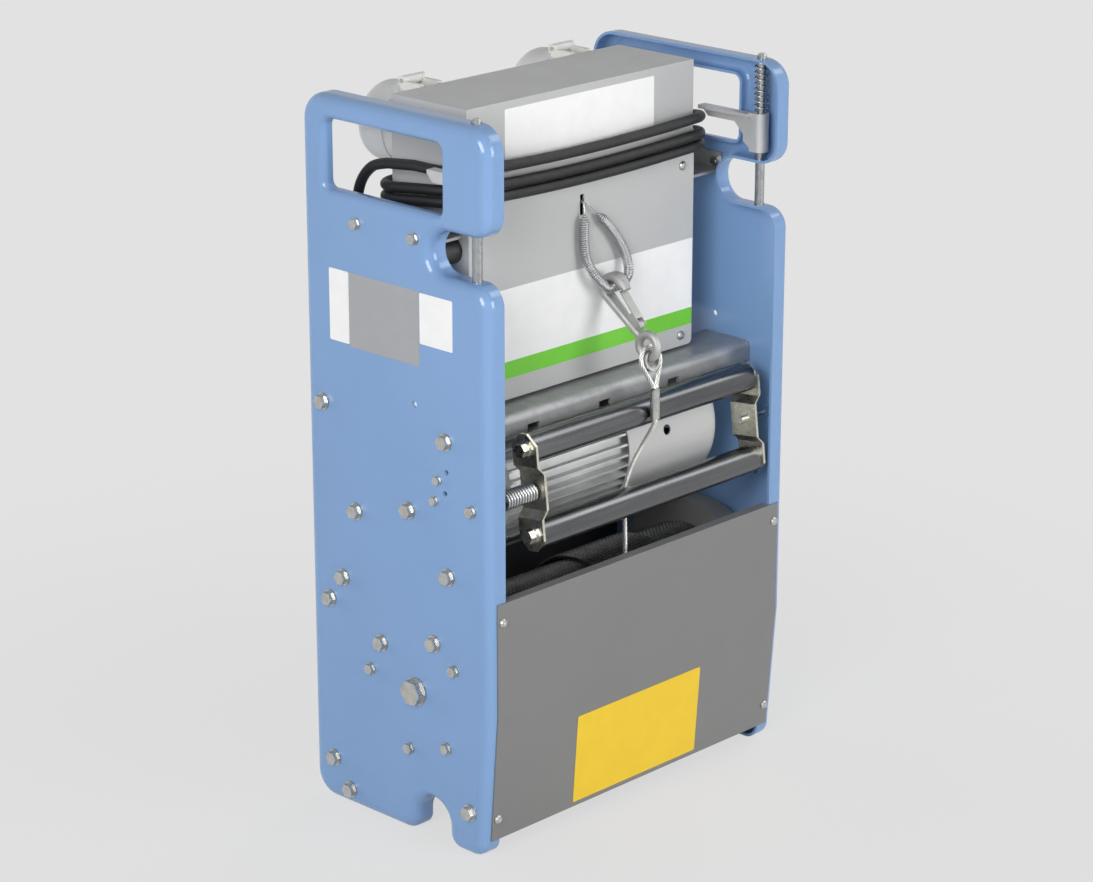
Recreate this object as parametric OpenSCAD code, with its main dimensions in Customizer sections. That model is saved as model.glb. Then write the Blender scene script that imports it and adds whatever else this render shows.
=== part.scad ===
// Winch unit of a ladder hoist: two folded side plates carry a control box, a motor with gearbox,
// a rope drum and a swinging rope guide. Millimetres, Z up, Y to the back,
// origin on the ground in the middle between the plates.

/* [Side plates] */
// Width over the outer faces of the side plates
frame_w = 452; // [440:1:480]
// Depth of a side plate, front edge to back edge
frame_d = 262; // [256:1:290]
// Height of a side plate
frame_h = 760; // [750:1:800]
// Thickness of the side plate sheet
sheet_t = 3; // [2:0.5:4]
// Depth of the folded rim
rim_w = 25; // [22:1:30]
// Outer bend radius of the rim
bend_r = 12; // [8:1:13]
// Radius of the three large corners
corner_r = 28; // [20:1:36]
// Radius of the ear and shoulder corners beside the upper slot
ear_r = 23; // [18:1:26]
// Radius of the foot corners
foot_r = 17; // [16:1:20]
// Height at which the front edge starts to slant
kink_z = 155; // [120:1:190]

/* [Rail slots] */
// Width of the slots that take the ladder rails
rail_slot = 46; // [42:1:48]
// Middle of the upper slot's round end, from the middle of the plate
upper_slot_y = -73; // [-80:1:-66]
// Height of the upper slot's middle
upper_slot_z = 627; // [620:1:634]
// Middle of the lower slot
lower_slot_y = -46.4; // [-52:0.2:-40]
// Height of the lower slot's round end
lower_slot_z = 22; // [18:1:26]

/* [Grip openings] */
// Length of a grip opening
grip_l = 165; // [140:1:170]
// Height of a grip opening
grip_h = 71; // [60:1:74]
// Middle of a grip opening along the plate
grip_y = 14.5; // [8:0.5:20]
// Height of the middle of a grip opening
grip_z = 700.5; // [696:0.5:704]
// Corner radius of a grip opening
grip_r = 8; // [6:1:20]
// Depth of the rim round a grip opening
grip_rim = 13; // [11:1:16]
// Bend radius of that rim
grip_bend = 8; // [6:1:9]

/* [Rail latches] */
// Diameter of the latch rods
rod_d = 10; // [8:0.5:11]
// Distance of a latch rod from its plate's outer face
rod_in = 17.5; // [17.5:0.1:18]
// Position of the latch rods along the plate
rod_y = -102; // [-104:0.5:-101.5]
// How far a rod stands above the plate
rod_top = 5; // [4:1:12]
// Height of a latch block's lower face
latch_z = 661; // [657:1:664]
// Height of a latch block
latch_h = 41; // [36:1:44]
// Length of a lever arm behind its rod
lever_l = 74; // [50:1:80]
// Wire of a latch spring
latch_wire = 1.5; // [1.2:0.1:1.8]
// Outer diameter of a latch spring
latch_spring_d = 15.5; // [15.5:0.5:16]

/* [Control box] */
// Room between the control box and a side plate
box_room = 57; // [57:1:70]
// Depth of the control box
box_d = 106; // [100:1:110]
// Front of the housing
box_y = -45; // [-48:1:-42]
// Height of the box's underside
box_z = 450; // [448:1:456]
// Height of the box's top
box_top = 757; // [752:1:770]
// Sheet of the box
box_t = 2; // [1.5:0.5:2.5]
// Height of the front plate
front_plate_h = 236; // [220:1:240]
// Distance of the plate screws from the sides of the box
box_screw_in = 18; // [12:1:30]
// Height of the box brackets
bracket_h = 20; // [16:1:22]

/* [Sockets] */
// Distance of each socket from the side of the box
socket_in = 57; // [52:1:64]
// Height of the sockets
socket_z = 712; // [708:1:716]
// Radius of the hole that takes a plug
socket_r = 23; // [20:1:25]
// How far a socket stands out of the box
socket_l = 31; // [26:1:34]
// Radius of a domed lid
lid_r = 42; // [38:1:44]
// Depth of a domed lid
lid_l = 43.5; // [38:0.5:46]
// Wall of a lid
lid_t = 2.5; // [2:0.5:4]
// Diameter of the lid hinge pins
lid_pin_d = 4; // [3:0.5:5]

/* [Power lead] */
// Diameter of the lead
lead_d = 11; // [9:0.5:11]
// How far the turns stand off the sides of the box
lead_side = 21; // [20.6:0.1:22]
// Distance of the lead's middle from the front and back of the box
lead_off = 12; // [12:0.1:13.5]
// Corner radius of the turns
lead_bend = 40; // [32:1:40]

/* [Drum] */
// Position of the drum axle
drum_y = -27; // [-30:1:-24]
// Height of the drum axle
drum_z = 160; // [156:1:164]
// Radius of the drum barrel
barrel_r = 55; // [50:1:60]
// Wall of the drum barrel
barrel_t = 5; // [4:0.5:8]
// Distance from the left plate's outer face to the barrel
drum_left = 75; // [73:1:77]
// Distance from the barrel to the right plate's outer face
drum_right = 38; // [36:1:46]
// Radius of the drum flanges
flange_r = 100; // [92:1:100]
// Thickness of the drum flanges
flange_t = 6; // [4:0.5:7]
// Width of the rim on the right flange
rim_l = 20; // [16:1:20]
// Diameter of the dead axle
axle_d = 25; // [20:1:28]
// Radius of the rope already wound below the top layer
core_r = 76; // [72:0.5:78]

/* [Rope] */
// Diameter of the wire rope
rope_d = 5; // [4:0.25:5.5]
// Step of the top layer of turns
rope_pitch = 5.6; // [5.5:0.1:7]
// Place where the free rope leaves the drum
rope_x = 4; // [0:1:10]
// Diameter of the ferrule
ferrule_d = 10; // [8:0.5:10]
// Length of the ferrule
ferrule_l = 32; // [26:1:32]

/* [Gears] */
// Module of the drum gear
drum_module = 3; // [3]
// Teeth of the drum gear
drum_teeth = 64; // [64]
// Teeth of the final pinion
pinion_teeth = 16; // [16]
// Module of the motor stage
stage_module = 2; // [2]
// Teeth of the stage wheel
stage_teeth = 75; // [75]
// Teeth of the motor pinion
motor_teeth = 14; // [14]
// Direction from the drum axle to the final pinion
pinion_angle = 76.1; // [70:0.1:80]
// Direction from the final pinion to the motor
motor_angle = 98.1; // [96:0.1:102]
// Pitch circle of the gearbox bolts
gear_pcd = 160; // [156:1:164]
// Radius of the gearbox housing
gearbox_r = 92; // [90:1:93]
// Thickness of the gearbox cover
gear_cover_t = 12; // [11:1:13]
// Depth of the gearbox housing
gearbox_l = 35; // [34:1:36]

/* [Motor] */
// Radius of the motor housing over its fins
motor_r = 72; // [66:1:73]
// Height of the fins
fin_h = 9; // [6:1:12]
// Number of fins
fin_count = 40; // [30:1:48]
// Distance from the left plate's outer face to the finned housing
motor_left = 74; // [73:1:76]
// Length of the fan cowl
cowl_l = 142; // [132:1:152]
// Distance from the fan cowl to the right plate's outer face
cowl_right = 54; // [50:1:66]
// Sheet of the fan cowl
cowl_t = 1.5; // [1:0.5:2]
// Radius of the rounded edge of the fan cowl
cowl_edge = 12; // [8:1:16]

/* [Rope guide] */
// Position of the guide pivot
guide_y = -109; // [-110:1:-108]
// Height of the guide pivot
guide_z = 374; // [371:1:377]
// Distance between the guide tubes
guide_span = 89.6; // [86:0.2:92]
// Lean of the guide frame
guide_tilt = 6.7; // [4:0.1:9]
// Diameter of the guide tubes
guide_tube_d = 30; // [28:0.5:30]
// Wall of the guide tubes
guide_tube_t = 3; // [2:0.5:5]
// Distance from the left plate's outer face to the guide tubes
guide_left = 82; // [78:1:86]
// Distance from the guide tubes to the right plate's outer face
guide_right = 36; // [36:1:46]
// Sheet of the guide brackets
guide_t = 3; // [2:0.5:3.5]
// How far the middle of a bracket is set in
guide_joggle = 8; // [6:1:10]
// Width of the guide brackets
guide_bracket_w = 34; // [30:1:36]
// Bevel of their corners
guide_bevel = 12; // [11:1:14]

/* [Load hook] */
// Distance from the hook's eye to the middle of its bowl
hook_l = 69.5; // [66:0.5:74]
// Radius of the bowl's middle line
bowl_r = 13; // [12.5:0.5:14]
// Radius of the bowl's stock
bowl_stock = 4.8; // [4.2:0.1:4.8]
// How much broader than high the bowl's stock is
bowl_broad = 7; // [4:0.5:8]
// Radius of the eye's middle line
eye_r = 12.2; // [12:0.1:13]
// Radius of the eye's stock
eye_stock = 4.6; // [4:0.1:4.6]
// Wire of the hook spring
hook_wire = 1.6; // [1.2:0.1:1.8]
// Outer diameter of the hook spring
hook_spring_d = 10.6; // [9:0.1:10.6]

/* [Front parts] */
// Distance from a plate's outer face to the edge of the front cover
cover_in = 12.4; // [10:0.1:14]
// Height of the front cover's top edge
cover_top = 278; // [265:1:285]
// Height of the front cover's lower edge
cover_low = 18; // [17:1:25]
// Sheet of the front cover
cover_t = 1.5; // [1:0.5:2]
// Height of the cross member's top face
cross_z = 447; // [445:1:447]
// Front face of the cross member
cross_y = -81; // [-84:1:-80]
// Height of the cross member's front lip
cross_lip = 21; // [18:1:24]
// Depth of the cross member's top
cross_d = 62; // [50:1:70]
// Diameter of the tie bars
bar_d = 22; // [18:1:24]

/* [Hidden] */
$fn = 64;

// Clearances and seats
gap = 0.3;
run_gap = 0.05;
hole_gap = 0.4;
cover_seat = 0.15;
cut = 1;

// Side plate
half_w = frame_w / 2;
half_d = frame_d / 2;
inner_x = half_w - sheet_t;
drum_x0 = drum_left - half_w;
drum_x1 = half_w - drum_right;
motor_x0 = motor_left - half_w;
cowl_x1 = half_w - cowl_right;
cowl_x0 = cowl_x1 - cowl_l;
guide_x0 = guide_left - half_w;
guide_x1 = half_w - guide_right;
bend_steps = 6;
rim_lap = 2;
least_run = 0.1;
foot_run = 2.5;
slant = [237, 3116] / 3125;
kink_back = snap((kink_z - foot_r - foot_run) * slant[0] / slant[1], 0.001);
kink_lean = asin(slant[0]);
slot_r = rail_slot / 2;
plate_loop = [
    [half_d, 0, corner_r],
    [half_d, frame_h, corner_r],
    [-half_d, frame_h, corner_r],
    [-half_d, upper_slot_z + slot_r, ear_r],
    [upper_slot_y + slot_r, upper_slot_z + slot_r, slot_r],
    [upper_slot_y + slot_r, upper_slot_z - slot_r, slot_r],
    [-half_d, upper_slot_z - slot_r, ear_r],
    [-half_d, kink_z, 0],
    [-half_d + kink_back, foot_r + foot_run, 0],
    [-half_d + kink_back, 0, foot_r],
    [lower_slot_y - slot_r, 0, foot_r],
    [lower_slot_y - slot_r, lower_slot_z + slot_r, slot_r],
    [lower_slot_y + slot_r, lower_slot_z + slot_r, slot_r],
    [lower_slot_y + slot_r, 0, foot_r]
];
grip_loop = [
    [grip_y - grip_l / 2, grip_z - grip_h / 2, grip_r],
    [grip_y - grip_l / 2, grip_z + grip_h / 2, grip_r],
    [grip_y + grip_l / 2, grip_z + grip_h / 2, grip_r],
    [grip_y + grip_l / 2, grip_z - grip_h / 2, grip_r]
];

// Fasteners: thread, head width across flats, head height, washer radius and washer thickness
M5 = [5, 8, 3.5, 5, 1];
M6 = [6, 10, 4, 6.5, 1.5];
M8 = [8, 13, 5.5, 9, 1.8];
M16 = [16, 24, 8, 15, 2];
bar_places = [[105, 441], [100, 228], [-104, 49]];
cross_place = [-73, 438];
panel_places = [[98, 48.5], [74, 19]];
axle_flange_bolt_r = 67;
axle_flange_angles = [5, 146, 229, 279];
bracket_bolt_y = [51, -32];
bracket_bolt_z = 637;
switch_places = [[-62, 395.5], [-57, 373]];
spare_holes = [[-74, 406.6], [-72, 384]];
vent_hole = [-30, 467.5];
m8_grip = 16;
m8_hole_r = (M8[0] + hole_gap) / 2;
m6_hole_r = (M6[0] + hole_gap) / 2;
m6_grip = 6;
nut_h = 5;

// Gear train
drum_cd = drum_module * (drum_teeth + pinion_teeth) / 2;
stage_cd = stage_module * (stage_teeth + motor_teeth) / 2;
gear_y = drum_y + drum_cd * cos(pinion_angle);
gear_z = drum_z + drum_cd * sin(pinion_angle);
motor_y = gear_y + stage_cd * cos(motor_angle);
motor_z = gear_z + stage_cd * sin(motor_angle);
gear_bolt_first = -14.6;
cover_x = -inner_x + gear_cover_t;
gearbox_x = cover_x + gearbox_l;
gearbox_wall = 8;
gearbox_neck_r = 40;
stage_x = cover_x + 3;
stage_w = 18;
stage_room_r = stage_module * (stage_teeth / 2 + 1) + 3;
pinion_shaft_d = 20;
bearing_w = 8;
bearing_od = 42;
drum_gear_w = 18;
drum_gear_x = drum_x0 - flange_t - drum_gear_w;
motor_shaft_d = 24;
motor_neck_r = 55;
motor_bore_r = 41.5;
fin_t = 2.4;
rotor_r = 40;
motor_end = cowl_x0 + 30;

// Control box
box_w = 2 * (inner_x - box_room);
box_screw_x = box_w / 2 - box_screw_in;
socket_x = box_w / 2 - socket_in;
front_y = box_y - box_t;
back_y = box_y + box_d;
front_plate_top = box_z + front_plate_h;

// Rope
wind_r = core_r + gap + rope_d / 2 + 0.9;
wind_turns = 18;
wind_rings = 20;
wind_sides = 5;
wind_end = 176;
wind_x = rope_x + rope_pitch;
run_r = core_r + gap + rope_d / 2;
run_angle = 3.5;
low_tube = [guide_y - guide_span / 2 * sin(guide_tilt), guide_z - guide_span / 2 * cos(guide_tilt)];
high_tube = [guide_y + guide_span / 2 * sin(guide_tilt), guide_z + guide_span / 2 * cos(guide_tilt)];
rope_off = [rope_x, drum_y - run_r * cos(run_angle), drum_z + run_r * sin(run_angle)];
rope_low = [rope_x + 5, low_tube[0] + guide_tube_d / 2 + rope_d / 2 + gap, low_tube[1] - 3];
ferrule_y = high_tube[0] - guide_tube_d / 2 - ferrule_d / 2 - 2 * gap;
rope_high = [rope_x + 20, ferrule_y, high_tube[1] - 3.5];
rope_points = [
    rope_off, mix(rope_off, rope_low, 0.25), mix(rope_off, rope_low, 0.5), mix(rope_off, rope_low, 0.75),
    rope_low,
    mix(rope_low, rope_high, 0.22) + [-1, 5, 0], mix(rope_low, rope_high, 0.44) + [0, 6, 0],
    mix(rope_low, rope_high, 0.68) + [2, 4, 0], mix(rope_low, rope_high, 0.86) + [1, 0, 0],
    rope_high - [0, 0, 4], rope_high
];
eye_lean = 13;
eye_centre = 30;
eye_bend = 14;
rope_seat = 0.4;
ferrule_at = rope_points[len(rope_points) - 1] + [0, 0, rope_seat];
eye_at = ferrule_at + [0, 0, ferrule_l];
eye_rise = rope_d / 2 * sin(eye_lean) + run_gap;
thimble_r = eye_bend - rope_d / 2 - gap;
thimble_t = 2.8;
hook_play = 1.2;
hook_eye_up = eye_centre + thimble_r - thimble_t - hook_play - eye_stock + eye_r;
hook_at = eye_at + hook_eye_up * [0, sin(eye_lean), cos(eye_lean)];
hook_lean = 42;
bowl_at = hook_at + hook_l * [0, sin(hook_lean), cos(hook_lean)];
spring_seat = bowl_at + (bowl_r - bowl_stock - hook_spring_d / 2 - gap) * [0, sin(hook_lean), cos(hook_lean)];
slot_x = -4;
slot_z = 633;
slot_w = 6;
slot_h = 22;
spring_y = front_y - hook_spring_d / 2 - 1.7;
spring_z = slot_z + 4;
hook_spring_points = [
    [slot_x - 2, box_y + 7, spring_z], [slot_x - 2, front_y - 3, spring_z - 1],
    [slot_x - 4, spring_y, slot_z - 11], [slot_x - 5, spring_y - 0.5, slot_z - 33],
    [slot_x - 2, spring_y - 1.5, slot_z - 56],
    spring_seat + [-24, 4, 16], spring_seat + [-10, 0.3, 0.8], spring_seat, spring_seat + [10, 0.3, 0.6],
    spring_seat + [26, 4, 8], [slot_x + 57, spring_y - 3, slot_z - 67],
    [slot_x + 50, spring_y - 1.5, slot_z - 50], [slot_x + 36, spring_y - 0.5, slot_z - 31],
    [slot_x + 18, spring_y, slot_z - 13], [slot_x + 2, front_y - 3, spring_z - 1],
    [slot_x + 2, box_y + 7, spring_z]
];
hook_spring_curls = 38;
coil_start = 0.12;
coil_rise = 0.03;

// Lead
lead_front = front_y - lead_off;
lead_back = back_y + lead_off;
lead_bow = 5;
lead_x = box_w / 2 + lead_side;
collar_r = lid_r - 1;
lead_pitch = lead_d + 1;
lead_rear = [for (k = [2, 1, 0]) socket_z - collar_r - 1 - lead_d / 2 - lead_pitch * k];
lead_fore = [front_plate_top - 18, front_plate_top - 6, front_plate_top + 12];
lead_sag = 5.5;
lead_start_z = 613;
lead_steps = 6;
lead_mid_y = (lead_front + lead_back) / 2;
lead_tail = [
    [-lead_x - 1, 45, 693], [-lead_x - 2, 66, 686], [-lead_x, 85, 666], [-lead_x + 3, 95, 636],
    [-lead_x + 6, 97, 607], [-lead_x + 6, 97, 590]
];
plug_seat = 0.2;
plug_at = lead_tail[len(lead_tail) - 1] - [0, 0, plug_seat];
lid_pin_y = back_y + socket_l - 2;
lid_pin_z = socket_z + lid_r + 5;
lid_y = back_y + socket_l + gap;

// Rope guide
pivot_d = 8;
pivot_spring_d = 20;
pivot_spring_wire = 3;
pivot_spring_turns = 11;
pivot_spring_pitch = 3.9;

// Latches
rod_low = upper_slot_z - slot_r - sheet_t + 1;
latch_spring_turns = 9;
ear_top = frame_h - sheet_t;

// Vectors and tubes
function unit(v) = v / norm(v);
function mix(a, b, t) = a + (b - a) * t;
function half_wave(t) = (1 - cos(180 * t)) / 2;
function snap(v, step) = round(v / step) * step;

// Point on a smooth curve through the list p, at the place t counted in points
function curve_at(p, t) =
    let (n = len(p) - 1, i = min(floor(t), n - 1), u = t - i,
         a = p[max(i - 1, 0)], b = p[i], c = p[i + 1], d = p[min(i + 2, n)])
    b + u * 0.5 * (c - a + u * (2 * a - 5 * b + 4 * c - d + u * (3 * (b - c) + d - a)));
function curve(p, per) = [for (i = [0 : (len(p) - 1) * per]) curve_at(p, i / per)];

// Directions along a path, and a side direction carried along it without twisting
function path_dirs(p) =
    let (n = len(p))
    [for (i = [0 : n - 1]) unit(p[min(i + 1, n - 1)] - p[max(i - 1, 0)])];
function square_to(v, d) = unit(v - d * (v * d));
function first_side(d) = square_to(abs(d[0]) < 0.8 ? [1, 0, 0] : [0, 1, 0], d);
function path_sides(dirs) =
    [for (i = 0, s = first_side(dirs[0]); i < len(dirs);
          i = i + 1, s = i < len(dirs) ? square_to(s, dirs[i]) : s) s];

// Tube swept along a path, with flat ends
module tube(p, d, sides) {
    dirs = path_dirs(p);
    us = path_sides(dirs);
    n = len(p);
    points = [
        for (i = [0 : n - 1])
            for (k = [0 : sides - 1])
                let (a = 360 * k / sides, v = cross(dirs[i], us[i]))
                p[i] + d / 2 * (us[i] * cos(a) + v * sin(a))
    ];
    walls = [
        for (i = [0 : n - 2])
            for (k = [0 : sides - 1])
                let (a = i * sides + k, b = i * sides + (k + 1) % sides)
                each [[a, a + sides, b], [b, a + sides, b + sides]]
    ];
    ends = [
        for (k = [1 : sides - 2])
            each [[0, k, k + 1], [(n - 1) * sides, (n - 1) * sides + k + 1, (n - 1) * sides + k]]
    ];
    polyhedron(points, concat(walls, ends), convexity = 10);
}

// Least gap of a wound tube to itself, between points at least skip steps apart
function least_gap(p, d, skip) =
    min([for (i = [0 : len(p) - 1 - skip]) min([for (j = [i + skip : len(p) - 1]) norm(p[i] - p[j])])]) - d;

// Helix about Z from the origin upwards, with ends that run straight for one diameter
function helix(r, pitch, turns, rings, d) =
    let (q = [for (i = [0 : turns * rings])
                 let (a = 360 * i / rings) [r * cos(a), r * sin(a), pitch * i / rings]],
         n = len(q) - 1)
    concat([q[0] + [0, -d, 0]], q, [q[n] + d * [-sin(360 * turns), cos(360 * turns), 0]]);

// Placing helpers
module along_x() {
    multmatrix([[0, 0, 1, 0], [1, 0, 0, 0], [0, 1, 0, 0], [0, 0, 0, 1]]) children();
}
module rod_x(x0, x1, y, z, r) {
    translate([x0, y, z]) along_x() cylinder(r = r, h = x1 - x0);
}
module ring_x(x0, x1, y, z, ro, ri) {
    translate([x0, y, z]) along_x() difference() {
        cylinder(r = ro, h = x1 - x0);
        translate([0, 0, -cut]) cylinder(r = ri, h = x1 - x0 + 2 * cut);
    }
}
module block(low, high) {
    translate(low) cube(high - low);
}
module both_sides() {
    children();
    mirror([1, 0, 0]) children();
}

// Rim of the side plates: distance in from the outline, then depth from the outer face
function rim_profile(depth, r) = concat(
    [[r + rim_lap, 0]],
    [for (k = [0 : bend_steps]) let (a = 270 - 90 * k / bend_steps) [r + r * cos(a), r + r * sin(a)]],
    [[0, depth], [sheet_t, depth]],
    [for (k = [0 : bend_steps])
        let (a = 180 + 90 * k / bend_steps) [r + (r - sheet_t) * cos(a), r + (r - sheet_t) * sin(a)]],
    [[r + rim_lap, sheet_t]]
);

// Corner i of a loop: arc start, arc end, arc centre, radius, turn (1 out, -1 in), angle and both directions
function corner(loop, i) =
    let (n = len(loop), p = loop[(i + n - 1) % n], c = loop[i], q = loop[(i + 1) % n],
         d1 = unit([c[0] - p[0], c[1] - p[1]]), d2 = unit([q[0] - c[0], q[1] - c[1]]),
         turn = sign(d1[0] * d2[1] - d1[1] * d2[0]), angle = acos(d1 * d2), t = c[2] * tan(angle / 2),
         a = [c[0], c[1]] - d1 * t, b = [c[0], c[1]] + d2 * t)
    [a, b, a + turn * c[2] * left_of(d1), c[2], turn, angle, d1, d2];
function heading(v) = atan2(v[1], v[0]);

// Outline moved into the material by the distance inset; a corner without a radius stays a point
function left_of(d) = [-d[1], d[0]];
function inset_arc(c, inset) =
    let (r = c[3] - c[4] * inset, a = heading(c[0] - c[2]))
    [for (k = [0 : bend_steps]) let (t = a + c[4] * c[5] * k / bend_steps) c[2] + r * [cos(t), sin(t)]];
function inset_point(c, inset) =
    let (n1 = left_of(c[6]), n2 = left_of(c[7])) [c[2] + inset * (n1 + n2) / (1 + n1 * n2)];
function inset_loop(loop, inset) = [
    for (i = [0 : len(loop) - 1])
        let (c = corner(loop, i)) each c[3] > 0 ? inset_arc(c, inset) : inset_point(c, inset)
];

// Straight rims run past a corner without a radius, so that they cross there
function past_corner(c, r) = c[3] > 0 ? 0 : (r + rim_lap) * tan(c[5]) + gap;
module rim(loop, depth, r) {
    profile = rim_profile(depth, r);
    n = len(loop);
    for (i = [0 : n - 1]) {
        c = corner(loop, i);
        next = corner(loop, (i + 1) % n);
        d = [snap(c[7][0], 0.00001), snap(c[7][1], 0.00001)];
        a = c[1] - d * past_corner(c, r);
        b = next[0] + d * past_corner(next, r);
        if (norm(next[0] - c[1]) > least_run)
            multmatrix([[0, 1, 0, 0], [-d[1], 0, d[0], a[0]], [d[0], 0, d[1], a[1]], [0, 0, 0, 1]])
                linear_extrude(norm(b - a)) polygon(profile);
        start = c[4] > 0 ? c[0] : c[1];
        if (c[3] > 0)
            translate([0, c[2][0], c[2][1]]) along_x() rotate([0, 0, heading(start - c[2])])
                rotate_extrude(angle = c[5]) polygon([for (q = profile) [c[3] - c[4] * q[0], q[1]]]);
    }
}

module plate_shell() {
    rim(plate_loop, rim_w, bend_r);
    rim(grip_loop, grip_rim, grip_bend);
    along_x() linear_extrude(sheet_t) difference() {
        polygon(inset_loop(plate_loop, bend_r + rim_lap / 2));
        polygon(inset_loop(grip_loop, grip_bend + rim_lap / 2));
    }
}

// Bores of a side plate, drawn for the left plate with its outer face at x = 0
module plate_bore(place, d) {
    rod_x(-cut, sheet_t + cut, place[0], place[1], d / 2 + hole_gap / 2);
}
function around(centre, r, a) = centre + r * [cos(a), sin(a)];
function gear_bolt(k) = around([gear_y, gear_z], gear_pcd / 2, gear_bolt_first + 60 * k);
function axle_flange_bolt(a) = around([drum_y, drum_z], axle_flange_bolt_r, a);
frame_bolts = concat(bar_places, [cross_place], panel_places);
flange_bolts = [for (a = axle_flange_angles) axle_flange_bolt(a)];
bracket_bolts = [for (y = bracket_bolt_y) [y, bracket_bolt_z]];

module plate_bores() {
    for (p = frame_bolts) plate_bore(p, M8[0]);
    for (p = concat(flange_bolts, bracket_bolts)) plate_bore(p, M6[0]);
    plate_bore([guide_y, guide_z], pivot_d);
    plate_bore([drum_y, drum_z], M16[0]);
    plate_bore(vent_hole, M6[0]);
    translate([rod_in, rod_y, rod_low - cut]) cylinder(r = rod_d / 2 + hole_gap, h = frame_h);
}
module left_only_bores() {
    for (k = [0 : 5]) plate_bore(gear_bolt(k), M8[0]);
    for (p = concat(switch_places, spare_holes)) plate_bore(p, M5[0]);
}

// Front cover screws, square to the cover's two faces
cover_w = frame_w - 2 * cover_in;
cover_screw_x = half_w - 19;
cover_screw_z = [258, 42];
cover_screw_d = 5;
cover_screw_l = 9;
function front_edge(z) = -half_d - cover_seat + (z < kink_z ? (kink_z - z) * tan(kink_lean) : 0);
module cover_screw_place(x, z) {
    translate([x, front_edge(z), z]) rotate([90 + (z < kink_z ? kink_lean : 0), 0, 0]) children();
}

module left_side_plate() {
    color("lightsteelblue") difference() {
        translate([-half_w, 0, 0]) difference() {
            plate_shell();
            plate_bores();
            left_only_bores();
        }
        for (z = cover_screw_z)
            cover_screw_place(-cover_screw_x, z) translate([0, 0, -2 * sheet_t])
                cylinder(d = cover_screw_d + hole_gap, h = 3 * sheet_t);
    }
}
module right_side_plate() {
    color("lightsteelblue") mirror([1, 0, 0]) difference() {
        translate([-half_w, 0, 0]) difference() {
            plate_shell();
            plate_bores();
        }
        for (z = cover_screw_z)
            cover_screw_place(-cover_screw_x, z) translate([0, 0, -2 * sheet_t])
                cylinder(d = cover_screw_d + hole_gap, h = 3 * sheet_t);
    }
}

// Bars between the plates, tapped at both ends
bar_end_r = 6.5;
bar_taper = bend_r - sheet_t + gap;
module tie_bars() {
    color("darkgray") for (p = bar_places) difference() {
        union() {
            rod_x(-inner_x + bar_taper, inner_x - bar_taper, p[0], p[1], bar_d / 2);
            both_sides() translate([-inner_x, p[0], p[1]]) along_x()
                cylinder(r1 = bar_end_r, r2 = bar_d / 2, h = bar_taper);
        }
        both_sides() rod_x(-inner_x - cut, -inner_x + m8_grip + cut, p[0], p[1], M8[0] / 2 + run_gap);
        if (p == bar_places[1])
            for (x = back_screw_x) back_screw_place(x) translate([0, 0, -back_screw_l - cut])
                cylinder(d = cover_screw_d + 2 * run_gap, h = back_screw_l + cut);
    }
}

// Panel behind the drum: a slanted foot folded at both ends, and an upright screwed to the middle bar
panel_w = 56;
panel_off = 11;
panel_tab = 22;
panel_foot = bend_r + gap;
back_low = 45;
back_top = 300;
back_front = bar_places[1][0] + bar_d / 2 + gap;
back_screw_x = [-150, 0, 150];
back_screw_l = 11;
module back_screw_place(x) {
    translate([x, back_front + sheet_t, bar_places[1][1]]) rotate([-90, 0, 0]) children();
}
module bottom_rear_panel() {
    mid = (panel_places[0] + panel_places[1]) / 2;
    step = panel_places[0] - panel_places[1];
    color("dimgray") difference() {
        union() {
            translate([0, mid[0], mid[1]]) rotate([heading(step), 0, 0]) {
                block([-inner_x, -panel_w / 2, -panel_off - sheet_t], [inner_x, panel_w / 2, -panel_off]);
                both_sides() block([-inner_x, -panel_w / 2, -panel_off - sheet_t / 2],
                                   [-inner_x + sheet_t, panel_w / 2, panel_tab - panel_off]);
            }
            block([-inner_x + gap, back_front, back_low], [inner_x - gap, back_front + sheet_t, back_top]);
        }
        block([-half_w, -half_d, -cut], [half_w, half_d, panel_foot]);
        for (p = panel_places) both_sides()
            rod_x(-inner_x - cut, -inner_x + sheet_t + cut, p[0], p[1], m8_hole_r);
        for (x = back_screw_x) back_screw_place(x) translate([0, 0, -sheet_t - cut])
            cylinder(d = cover_screw_d + hole_gap, h = sheet_t + 2 * cut);
    }
}

// Folded cross member under the front of the control box
cross_t = 3;
cross_bend = 8;
cross_slot_l = 17;
cross_slot_h = 7;
cross_slot_x = [-110, -5, 100];
module front_cross_member() {
    r = cross_bend;
    fold_at = [cross_y + r, cross_z - r];
    profile = concat(
        [[cross_y + cross_d, cross_z]],
        [for (k = [0 : bend_steps]) around(fold_at, r, 90 + 90 * k / bend_steps)],
        [[cross_y, cross_z - cross_lip], [cross_y + cross_t, cross_z - cross_lip]],
        [for (k = [0 : bend_steps]) around(fold_at, r - cross_t, 180 - 90 * k / bend_steps)],
        [[cross_y + cross_d, cross_z - cross_t]]
    );
    color("gainsboro") difference() {
        union() {
            translate([-inner_x, 0, 0]) along_x() linear_extrude(2 * inner_x) polygon(profile);
            both_sides() block([-inner_x, cross_y + cross_t / 2, cross_z - cross_lip],
                               [-inner_x + cross_t, cross_y + cross_d / 2, cross_z - cross_t / 2]);
        }
        both_sides()
            rod_x(-inner_x - cut, -inner_x + cross_t + cut, cross_place[0], cross_place[1], m8_hole_r);
        for (x = cross_slot_x)
            block([x - cross_slot_l / 2, cross_y - cut, cross_z - cross_lip - cut],
                  [x + cross_slot_l / 2, cross_y + cross_t + cut, cross_z - cross_lip + cross_slot_h]);
    }
}

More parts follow.
